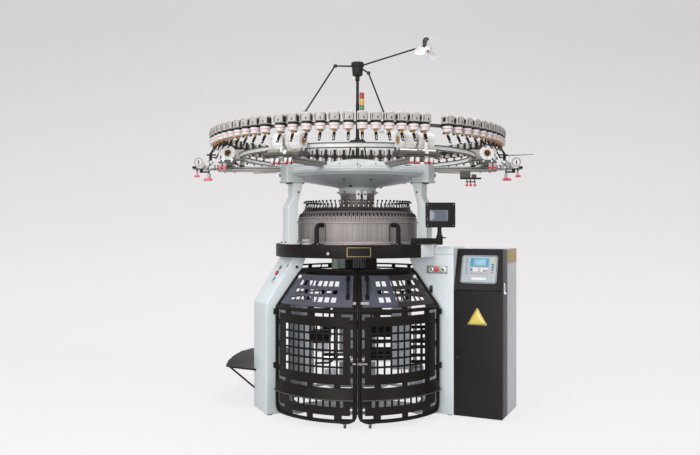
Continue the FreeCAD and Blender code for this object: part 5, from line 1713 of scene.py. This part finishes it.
@dataclass
class Cabinet:
    """Shell, door, leaning keypad panel, latch, lock and the inverter inside."""

    frame: dict[str, Any]
    inner: float = 868.0
    outer: float = 1270.0
    lean: float = 110.0
    low: float = 1037.0
    top: float = 1370.0

    def panel_place(self, x: float, up: float, proud: float = 0.0) -> Array:
        """A place on the leaning panel's front: x across from its middle, up along its slope."""
        rise = np.array([0.0, self.lean, self.top - self.low])
        slope = unit(rise)
        facing = np.cross(np.array([1.0, 0, 0]), slope)
        local = np.array([(self.inner + self.outer) / 2 + x, 0, self.low]) + slope * up + facing * proud
        return seated(beside(RIGHT, *local), beside(RIGHT, 1, 0), beside(RIGHT, *facing))

    def build(self) -> None:
        """Sheet metal first, then what is fixed to it."""
        softened(self.frame, "cabinet_shell", Look.WHITE, 3)
        softened(self.frame, "cabinet_door", Look.CHARCOAL, 3, "cabinet_door", 3)
        softened(self.frame, "control_panel", Look.CHARCOAL, 3, "control_panel", 3)
        self.build_trim()
        self.build_keypad()
        self.build_locks()
        softened(self.frame, "inverter", Look.ZINC, 4)

    def build_trim(self) -> None:
        """The grey corner strip, the sand-coloured patch and the bare triangle."""
        post = [bar(3, 145, 1352, beside(RIGHT, self.outer + 0.6, 94.5, 692), RIGHT, 1, 0.6)]
        dress("corner_post", post, Look.STRIP)
        patch = bar(2.4, 328, 114, beside(RIGHT, self.outer + 1.0, 335, 1309), RIGHT, 1, 0.6)
        dress("side_patch", [patch], Look.SAND)
        place = on_housing(1066, -0.2, 806)
        for name, size, proud, look in (("triangle_edge", 94.0, 1.2, Look.YELLOW_PLASTIC),
                                        ("triangle_line", 86.0, 1.6, Look.BLACK_PLASTIC),
                                        ("triangle_face", 79.0, 2.0, Look.YELLOW_PLASTIC)):
            corners = rounded(polar(size, np.array([90.0, 210.0, 330.0]), 0)[:, :2], 10, 4)
            rings = np.stack([np.c_[corners * share, np.full(len(corners), level)]
                              for share, level in ((1, 0), (1, proud), (0.985, proud + 0.3))])
            dress(name, [Surface.loft(rings).placed(place)], look, "cabinet_door")

    def build_keypad(self) -> None:
        """Pale plate with a display, rows of keys and a blank strip."""
        plate = slab(300, 236, 4, 16, 1.5, 4).placed(self.panel_place(-2, 176))
        dress("keypad_plate", [plate], Look.GREY_PLASTIC, "control_panel")
        edge = perforated((-146, 146), (-114, 114), [(-141, 141, -109, 109)], 0.8, flat_sheet, 300, 300)
        dress("keypad_edge", [edge.placed(self.panel_place(-2, 176, 4))], Look.STRIP, "control_panel")
        dress("lcd_frame", [slab(152, 74, 2, 3, 0.7).placed(self.panel_place(-2, 234, 4))], Look.LCD, "control_panel")
        field_plate = slab(104, 48, 1, 2, 0.4).placed(self.panel_place(0, 236, 6))
        dress("lcd_field", [field_plate], Look.LCD_FIELD, "control_panel")
        groups: dict[Look, list[Surface]] = {}

        def key(look: Look, x: float, up: float, width: float = 11, height: float = 9) -> None:
            """Adds one key cap to its colour's group."""
            cap = slab(width, height, 2.4, 2.5, 0.9).placed(self.panel_place(x, up, 4))
            groups.setdefault(look, []).append(cap)

        for x in (-42, -22, 18):
            for up in (164, 180):
                key(Look.WHITE_PLASTIC, x, up, 17, 13)
        for x in (42, 60):
            key(Look.WHITE_PLASTIC, x, 180, 14, 12)
            key(Look.TEAL_PLASTIC if x < 50 else Look.RED_PLASTIC, x, 164, 12, 10)
        key(Look.BLUE_PLASTIC, -68, 172, 12, 22)
        for number in range(9):
            key(Look.ORANGE_PLASTIC, -66 + number * 16.5, 140, 11, 8)
        for number, look in enumerate((Look.YELLOW_PLASTIC, Look.YELLOW_PLASTIC, Look.TEAL_PLASTIC, Look.TEAL_PLASTIC,
                                       Look.BLUE_PLASTIC, Look.RED_PLASTIC)):
            key(look, 108, 262 - number * 22, 17, 13)
        for number in range(9):
            key(Look.BLUE_PLASTIC, -108, 264 - number * 16, 15, 5)
        key(Look.FEEDER_WHITE, 0, 96, 120, 20)
        for look, caps in groups.items():
            dress(f"keys_{look.name.lower()}", caps, look, "control_panel")

    def build_locks(self) -> None:
        """The lever latch of the panel and the swing-handle lock of the door."""
        lever = rounded([(0, 0), (20, 0), (20, 8), (13, 88), (2, 92)], 4, 3)
        rings = np.stack([np.c_[np.full(len(lever), depth), lever[:, 0] - 10, lever[:, 1]] for depth in (0.0, 9.0)])
        latch = Surface.loft(rings).placed(moved(*beside(RIGHT, 1273, 43, 1006)) @ turned(RIGHT))
        pivot = pipe([beside(RIGHT, 1270.6, 43, 1018), beside(RIGHT, 1290, 43, 1018)], 9, 24)
        dress("latch_lever", [latch, pivot], Look.CHROME, "panel_latch", ["panel_latch"])
        body = slab(14, 98, 8, 5, 2.5, 3).placed(on_housing(906, -1, 523))
        barrel = lathe(oblong(0, 6, 0, 1.6), sides=20).placed(on_housing(906, -9, 490))
        dress("lock_body", [body], Look.BLACK_PLASTIC, "cabinet_lock", ["cabinet_lock"])
        dress("lock_barrel", [barrel], Look.DARK_STEEL, "cabinet_lock")


# ---------------------------------------------------------------- gates and guards


@dataclass
class Gate:
    """One curved gate: bent tube, slotted skin, ledge, sloped grille, handle and hardware."""

    side: str
    columns: int
    last: float
    skin: float = 745.0
    tube: float = 752.0
    crest: float = 523.0
    seam: float = 900.0
    top: float = 1202.0
    knob_spot: tuple[float, float] = (216.0, 0.775)
    inner: float = 269.0
    outer: float = 208.5
    per_degree: float = 13.1

    def flip(self, surface: Surface) -> Surface:
        """The surface itself on the left, its mirror image on the right."""
        return surface if self.side == "left" else surface.placed(MIRROR)

    def fit(self, name: str, parts: Sequence[Surface], look: Look, node: str = "") -> None:
        """Dresses parts of this gate, mirrored where it is the right one."""
        nodes = [f"{self.side}_gate_{node}"] if node else []
        dress(f"{self.side}_gate_{name}", [self.flip(part) for part in parts], look, f"{self.side}_gate", nodes)

    def reach(self, height: Array) -> Array:
        """Radius of the tube's line at a height: constant below the seam, falling evenly above it."""
        share = np.clip((height - self.seam) / (self.top - self.seam), 0, 1)
        return self.tube + (self.crest - self.tube) * share

    def along_tube(self, corners: Sequence[tuple[float, float]], cut: Any, closed: bool) -> Surface:
        """A tube through (angle, height) corners, rounded on the unrolled gate."""
        flat = rounded(np.asarray(corners, float) * (self.per_degree, 1), cut, 6, closed)
        flat = resampled(flat, 14, closed)
        path = polar(self.reach(flat[:, 1]), flat[:, 0] / self.per_degree, flat[:, 1])
        outward = polar(1.0, flat[:, 0] / self.per_degree, 0.0)
        return pipe(path, 12, 12, closed, outward)

    def sheet(self, degrees: Array, height: Array, depth: Array) -> Array:
        """A place on the upright skin."""
        return polar(self.skin + depth, degrees, height)

    def slope(self, degrees: Array, share: Array, depth: Array) -> Array:
        """A place on the sloped skin, share running from seam to crest."""
        rise, run = self.top - self.seam, self.tube - self.crest
        length = math.hypot(rise, run)
        return polar(self.tube - 4 - run * share + depth * rise / length, degrees,
                     self.seam + rise * share + depth * run / length)

    def holes(self) -> list[tuple[float, float, float, float]]:
        """Window grid, dashes round it, lower cells and the dashes along the foot."""
        cells = [(self.last - 4.36 * c - 3.15, self.last - 4.36 * c, 413 + 64.2 * r, 461 + 64.2 * r)
                 for c in range(self.columns) for r in range(6)]
        lower = [(254.1 - 4.41 * c, 257.2 - 4.41 * c, 163, 209) for c in range(8)] + [(259.6, 261.5, 163, 209)]
        tops = [(224.7, 238.4, 857, 881), (242.7, 256.3, 857, 881), (260.4, 267.3, 857, 878), (265.9, 267.3, 802, 857),
                (210.3, 219.3, 857, 880), (210.3, 212.4, 803, 857)]
        lefts = [(210.3, 212.4, 624, 764), (210.3, 212.4, 426, 574), (210.3, 212.4, 339, 388), (210.3, 219, 315, 339)]
        rights = [(265.8, 267.3, low, high)
                  for low, high in ((700, 762), (617, 683), (514, 574), (428, 481), (338, 391))]
        dashes = [(259.9, 267.3, 314, 336), (224.3, 238.2, 309, 335), (242.3, 256.0, 308, 336)]
        foot = [(226, 238, 68, 98), (242.3, 256.0, 68, 98), (260.7, 266.9, 76, 99), (265.6, 266.9, 99, 165),
                (210.3, 211.9, 118, 220), (211.6, 218.3, 102, 124)]
        return cells + lower + tops + lefts + rights + dashes + foot

    def build(self) -> None:
        """Everything on this gate's body."""
        self.build_tubes()
        self.build_skin()
        self.build_slope()
        self.build_hardware()

    def build_tubes(self) -> None:
        """The closed loop of tube, the cross tube at the bend, and the hinge knuckles."""
        loop = self.along_tube([(self.outer, 52), (self.outer, self.seam), (self.outer, self.top),
                                (self.inner, self.top), (self.inner, self.seam), (self.inner, 52)],
                               [70, 10, 60, 60, 10, 70], True)
        cross = self.along_tube([(self.outer, self.seam), (self.inner, self.seam)], 0, False)
        knuckles = [pipe([polar(765, 207.6, z), polar(765, 207.6, z + 46)], 12, 16) for z in (835, 395)]
        self.fit("tubes", [loop, cross, *knuckles], Look.BLACK, "frame")

    def build_skin(self) -> None:
        """The slotted sheet, the leaning ledge with gussets, a grey line along the ledge's edge that is a painted
        highlight, and the strip under the bend.
        """
        skin = perforated((self.outer + 0.5, self.inner - 0.5), (56, 893), self.holes(), 3, self.sheet)
        section = rounded([(744, 216), (777, 216), (780, 220), (779, 229), (751, 305), (747, 310), (744, 310)], 2.5, 2)
        ledge = lathe(section, 209.6, 267.8, 30)
        brim = lathe(rounded([(744, 886), (762, 892), (762, 898), (744, 898)], 1, 2), 209.7, 267.8, 30)
        strut = pipe(self.sheet(np.linspace(228, 236, 5), np.linspace(66, 100, 5), 1.5), 3, 8)
        self.fit("skin", [skin, ledge, brim, strut], Look.BLACK, "panel")
        # A grey line along the ledge's outer edge: painted highlight.
        bead = pipe(polar(781.5, np.linspace(209.8, 267.6, 40), 223), 3.6, 10, reference=(0, 0, 1))
        self.fit("bead", [bead], Look.STRIP)

    def build_slope(self) -> None:
        """The sloped grille: black margins with dashes, and the coloured plates with their openings. On the right gate
        the outer part of the plate is painted darker than the slate: a painted reflection.
        """
        low, high = 209.3, 268.1
        dashes = [(220 + 4.6 * c, 223.5 + 4.6 * c, 0.87, 0.93) for c in range(9)]
        rim = perforated((low, high), (0.86, 0.97), dashes, 3, self.slope, 2.0, 0.3)
        foot = perforated((low, high), (0.0, 0.09), [(222.5, 238, 0.03, 0.085), (242, 255, 0.03, 0.075)], 3, self.slope,
                          2.0, 0.3)
        sides = [perforated(span, (0.09, 0.86), [], 3, self.slope, 2.0, 0.3) for span in ((low, 210.6), (266.8, high))]
        self.fit("margins", [rim, foot, *sides], Look.BLACK)
        rows = ((0.20, 0.325), (0.395, 0.50), (0.59, 0.72))
        openings = [(219.9 + 4.69 * c, 223.2 + 4.69 * c, *row) for c in range(8) for row in rows]
        openings += [(211.6, 213.2, start, stop) for start, stop in ((0.25, 0.40), (0.50, 0.62), (0.70, 0.84))]
        # On the right gate the outer part of the plate is darker than the slate: painted reflection.
        plates = ([(210.6, 266.8, Look.SLATE)] if self.side == "left"
                  else [(210.6, 244.0, Look.RUSSET), (244.0, 266.8, Look.SLATE)])
        for number, (start, stop, look) in enumerate(plates):
            inside = [hole for hole in openings if start < hole[0] < stop]
            plate = perforated((start, stop), (0.09, 0.86), inside, 3.6, self.slope, 2.0, 0.3)
            self.fit(f"plate_{number}", [plate], look)

    def build_hardware(self) -> None:
        """Handle on the slope, pale knob, bolts, and the block over the caster."""
        ends = [self.slope(angle, share, depth) for angle, share, depth
                in ((263.6, 0.34, 2.0), (263.5, 0.38, 34.0), (262.7, 0.74, 34.0), (262.6, 0.78, 2.0))]
        grip = pipe(rounded(np.stack(ends), 14, 4, closed=False), 9.5, 16)
        feet = [slab(34, 46, 6, 6, 2).placed(seated(self.slope(angle, share, 2.0), polar(1, angle + 90, 0),
                                                    self.slope(angle, share, 9.0) - self.slope(angle, share, 0.0)))
                for angle, share in ((263.6, 0.33), (262.6, 0.79))]
        caster = slab(74, 30, 13, 5, 2.5).placed(moved(-97, -733, 38))
        self.fit("handle", [grip, *feet, caster], Look.BLACK_PLASTIC)
        knob = spun([(0, 0), (12, 0), (16, 8), (16, 14), (11, 21), (0, 24)], 3, 3, 28)
        away = self.slope(*self.knob_spot, 12.0) - self.slope(*self.knob_spot, 0.0)
        self.fit("knob", [knob.placed(seated(self.slope(*self.knob_spot, 3.0), (0, 0, 1), away))], Look.WHITE_PLASTIC)
        heads = [hex_bolt(4, 3).placed(seated(polar(self.skin + 3, a, z), (0, 0, 1), polar(1, a, 0)))
                 for a in (221.6, 240.5, 258.6) for z in (843, 362)]
        self.fit("bolts", heads, Look.BOLT)


@dataclass
class Latches:
    """The latch between the gates, the pale catch above it, their keepers, and both casters."""

    catch: float = 965.0
    latch: float = 502.0
    caster: tuple[float, float, float] = (97.0, -730.0, 15.0)

    def build(self) -> None:
        """Catch and latch between the gates, a caster under each gate."""
        self.build_catches()
        for side, name in ((-1, "left"), (1, "right")):
            self.build_caster(side, name)

    def build_catches(self) -> None:
        """Catch, latch and studs on the right gate, their keepers on the left."""
        catch = slab(64, 20, 9, 5, 2.5, 3).placed(facing_eye(56, -767, self.catch))
        nub = lathe(oblong(0, 7, 0, 5), sides=16).placed(facing_eye(34, -776, self.catch))
        dress("upper_catch", [catch, nub], Look.FEEDER_GREY, "right_gate")
        keeper = slab(24, 20, 9, 5, 2.5, 3).placed(facing_eye(-23, -767, self.catch))
        dress("upper_keeper", [keeper], Look.FEEDER_GREY, "left_gate")
        tongue = slab(28, 15, 6, 3, 2, 3).placed(facing_eye(-25, -767, self.latch))
        dress("latch_keeper", [tongue], Look.BRONZE, "left_gate")
        studs = [pipe([(20, -752, z), (20, -768.5, z)], 8, 16) for z in (self.latch, self.catch)]
        dress("catch_studs", studs, Look.BOLT, "right_gate")
        place = facing_eye(36, -769, self.latch)
        line = [(-39, 0, 4), (-26, 8.5, 4), (-6, 8.5, 4), (4, 0, 4), (-6, -8.5, 4), (-26, -8.5, 4)]
        loop = pipe(rounded(line, 4, 3), 2.9, 10, True, (0, 0, 1))
        arm = slab(44, 13, 7, 4, 2, 3).placed(moved(20, 0, 0.6))
        nut = hex_bolt(7, 4).placed(moved(-16, 0, 1))
        dress("latch_blade", [part.placed(place) for part in (loop, arm, nut)], Look.BRONZE, "gate_latch",
              ["gate_latch"])

    def build_caster(self, side: int, name: str) -> None:
        """A rubber tyre on its disc, in a fork with an axle.

        Args:
            side: -1 on the left, 1 on the right.
            name: The side's name.
        """
        x, y, z = side * self.caster[0], self.caster[1], self.caster[2]
        hub = facing_out(x, y, z)
        tyre = spun([(5, -8), (12, -8), (15, -5), (15, 5), (12, 8), (5, 8)], 1.5, 3, 32).placed(hub)
        disc = lathe(oblong(0, 6, -6, 6), sides=20).placed(hub)
        dress(f"{name}_tyre", [tyre], Look.RUBBER, f"{name}_caster_wheel", [f"{name}_caster_wheel"])
        dress(f"{name}_disc", [disc], Look.ZINC, f"{name}_caster_wheel")
        cheeks = [slab(3, 16, 24, 1, 0.5).placed(moved(x + step, y, 9)) for step in (-10.5, 10.5)]
        crown = slab(28, 30, 4, 5, 1).placed(moved(x, y - 6, 32))
        axle = pipe([(x - 13, y, z), (x + 13, y, z)], 3, 12)
        dress(f"{name}_fork", [*cheeks, crown, axle], Look.ZINC, f"{name}_caster_fork", [f"{name}_caster_fork"])


@dataclass
class RearGuards:
    """Slotted curved strips and bent uprights between the columns at the back."""

    low_radius: float = 736.0
    high_radius: float = 588.0

    def build(self) -> None:
        """Three strips on each side of the rear column, each with four slots, and two uprights behind them."""
        slots = {1: ((2, 10), (13, 34), (38.6, 53), (56.7, 71.7)),
                 -1: ((109, 114.5), (118.2, 136), (140.5, 163), (166, 175))}
        spans = {1: (1.8, 75.8), -1: (104.2, 178.2)}
        upper = {1: (-0.6, 72.5), -1: (107.5, 176.5)}
        strips = []
        for low, high, radius, reach in ((100, 130, self.low_radius, spans), (900, 950, self.low_radius, spans),
                                         (1165, 1215, self.high_radius, upper)):
            inset = (high - low) * 0.3
            for side, span in reach.items():
                openings = [(start, stop, low + inset, high - inset) for start, stop in slots[side]]
                strips.append(perforated(span, (low, high), openings, 4,
                                         lambda u, v, w, base=radius: polar(base - 4 + w, u, v)))
        dress("guard_strips", strips, Look.BLACK, replaces=["rear_guards"])
        bends = [rounded([polar(727, a, 100), polar(727, a, 915), polar(579, a, 1205)], [1, 30, 1], 4, closed=False)
                 for a in (25.3, 54.7, 125.3, 154.7)]
        dress("guard_uprights", [pipe(path, 6, 12) for path in bends], Look.BLACK)


@dataclass
class DriveParts:
    """Take-down frame, rollers, drive shaft, gear motor and the side step."""

    frame: dict[str, Any]
    gear_radius: float = 601.5

    def build(self) -> None:
        """The take-down, smooth rollers, drive spindle, motor and step."""
        self.build_gear()
        self.build_takedown()
        self.build_mechanism()
        self.build_rollers()
        self.build_spindle()
        softened(self.frame, "drive_motor", Look.STRIP, 4)
        softened(self.frame, "side_step", Look.CHARCOAL, 2)

    def build_rollers(self) -> None:
        """Two rubber rollers that draw the fabric and a bright one that winds it."""
        for node, radius, y, z, look in (("front_roller", 34, -34.5, 700, Look.RUBBER),
                                         ("rear_roller", 34, 34.5, 700, Look.RUBBER),
                                         ("cloth_roller", 40, 0, 420, Look.CHROME)):
            section = [(0, -310), (14, -310), (14, -302), (radius, -300), (radius, 300), (14, 302), (14, 310), (0, 310)]
            dress(f"{node}_drum", [spun(section, 1, 2, 40).placed(facing_out(0, y, z))], look, node, [node])

    def build_spindle(self) -> None:
        """The upright drive shaft with a pinion for each large gear."""
        spot = beside(RIGHT, 700, 150, 0)
        pinion = float(np.linalg.norm(spot[:2])) - self.gear_radius
        shaft = spun(oblong(0, 20, 66, 1372), 2, 2, 28)
        gears = [spun(oblong(20, pinion, z, z + 16), 1.5, 2, 46) for z in (72, 1327)]
        dress("drive_spindle", [part.placed(moved(*spot)) for part in (shaft, *gears)], Look.STEEL, "drive_shaft",
              ["drive_shaft"])

    def build_gear(self) -> None:
        """The large gear: rim, six arms, hub and teeth."""
        rim = spun(oblong(558, 596, 70, 90), 2, 2, 120)
        hub = spun(oblong(40, 96, 66, 96), 3, 2, 48)
        arm = bar(476, 46, 14, (327, 0, 80), 0, 4, 3)
        dress("takedown_gear", [rim, hub, arm.around(range(0, 360, 60))], Look.HAZE, "takedown", ["takedown_frame"])
        teeth = slab(8, 8, 18, 2.5, 0.5).placed(moved(596, 0, 71))
        dress("takedown_teeth", [teeth.around(np.arange(120) * 3.0)], Look.DARK_STEEL, "takedown")

    def build_takedown(self) -> None:
        """Pale side plates with wings, iron uprights above them, the cross beam and the head on it."""
        plates = [bar(60, 260, 836, (-440, 0, 507), 0, 6, 4), bar(60, 260, 586, (430, 0, 632), 0, 6, 4)]
        wings = [bar(217, 24, 826, (-486.5, -6, 510), 0, 6, 4), bar(160, 24, 586, (372, -134, 632), 0, 6, 4)]
        foot = [bar(130, 60, 252, (508, 0, 220), 0, 6, 4), bar(190, 60, 26, (472, 0, 342), 0, 6, 4)]
        low = [bar(96, 24, 74, (-297, -150, 528), 0, 5, 3), bar(96, 24, 60, (-236, -60, 296), 0, 5, 3)]
        dress("side_plates", plates + wings + foot + low, Look.HAZE, "takedown")
        posts = [bar(46, 130, 210, (side * 440, 0, 1027), 0, 6, 4) for side in (-1, 1)]
        beam = [bar(1000, 78, 60, (0, 0, 1140), 0, 8, 5), bar(1000, 96, 10, (0, 0, 1166), 0, 4, 3)]
        cases = [bar(176, 200, 66, (-318, 0, 618), 0, 8, 5), bar(100, 200, 380, (350, 10, 560), 0, 8, 5)]
        head = [bar(404, 236, 16, (0, 0, 1178), 0, 6, 3), bar(96, 84, 12, (-187, -146, 1176), 0, 6, 3),
                bar(85, 190, 92, (123, -14, 1232), 0, 8, 5)]
        dress("takedown_castings", posts + beam + cases + head, Look.IRON, "takedown")
        ribs = [bar(9, 176, 84, (x, -16, 1228), 0, 2, 1.5) for x in range(-44, 80, 15)]
        boxes = [bar(59, 190, 80, (-77, -16, 1226), 0, 6, 4), *ribs]
        dress("head_boxes", boxes, Look.BLACK, "takedown")
        tower = spun([(0, 1180), (32, 1180), (32, 1282), (27, 1290), (0, 1290)], 3, 3, 36)
        dress("head_cylinder", [tower.placed(moved(-187, -150))], Look.PALE_PLASTIC, "takedown")
        bolts = [hex_bolt(9, 7).placed(moved(x, y, 1171)) for x in (-460, -420, 420, 460) for y in (-30, 30)]
        dress("beam_bolts", bolts, Look.ZINC, "takedown")

    def build_mechanism(self) -> None:
        """A black plate with openings on the left, louvres and a lattice on the right, and a bent tube between."""
        openings = [(-362, -318, 590, 640), (-306, -246, 590, 640), (-362, -318, 662, 742), (-306, -246, 662, 700),
                    (-306, -246, 716, 742), (-362, -300, 766, 836), (-286, -246, 766, 836)]
        plate = perforated((-376, -230), (560, 860), openings, 8,
                           lambda u, v, w: np.stack([u, -122 - w, v], -1), 40, 60)
        stays = [bar(14, 60, 14, (x, -94, z), 0, 3, 2) for x in (-366, -240) for z in (572, 848)]
        slats = [bar(172, 40, height, (206, -104, z), 0, 3, 2) for z, height in
                 ((440, 30), (494, 56), (576, 22), (648, 74), (716, 12), (760, 12), (804, 12), (840, 10))]
        lattice = [*(bar(120, 22, 26, (520, -60, z), 0, 3, 2) for z in (392, 448, 520, 566, 640, 690)),
                   *(bar(12, 26, 320, (x, -60, 540), 0, 3, 2) for x in (486, 556))]
        frame = [bar(12, 60, 430, (x, -102, 636), 0, 3, 2) for x in (118, 294)]
        bracket = [bar(30, 70, 12, (305, -84, z), 0, 3, 2) for z in (580, 830)]
        line = rounded([(-195, -96, 836), (-195, -96, 430), (-236, -96, 388), (-366, -96, 384)], 30, 5, closed=False)
        tube = pipe(line, 9, 16, reference=(0, 1, 0))
        stay = bar(190, 14, 14, (-285, -96, 836), 0, 3, 2)
        dress("mechanism", [plate, *stays, *slats, *lattice, *frame, *bracket, tube, stay], Look.BLACK_PLASTIC,
              "takedown")


# ---------------------------------------------------------------- whole machine


def main() -> None:
    """Builds the studio and the machine in order, from the floor up."""
    logging.basicConfig(level=logging.INFO, format="%(message)s")
    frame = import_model()
    Studio().build()
    Underframe(frame).build()
    Table().build()
    Pillars(frame).build()
    KnittingHead().build()
    Crown().build()
    RingWork().build()
    Feeders().build()
    ElastaneUnits().build()
    Blower().build()
    Handles().build()
    for number, station in enumerate(ButtonStation.both()):
        station.build(number == 0)
    OperatorScreen().build()
    Cabinet(frame).build()
    Gate("left", 10, 261.5).build()
    Gate("right", 9, 261.9).build()
    Latches().build()
    RearGuards().build()
    DriveParts(frame).build()


if __name__ == "__main__":
    main()
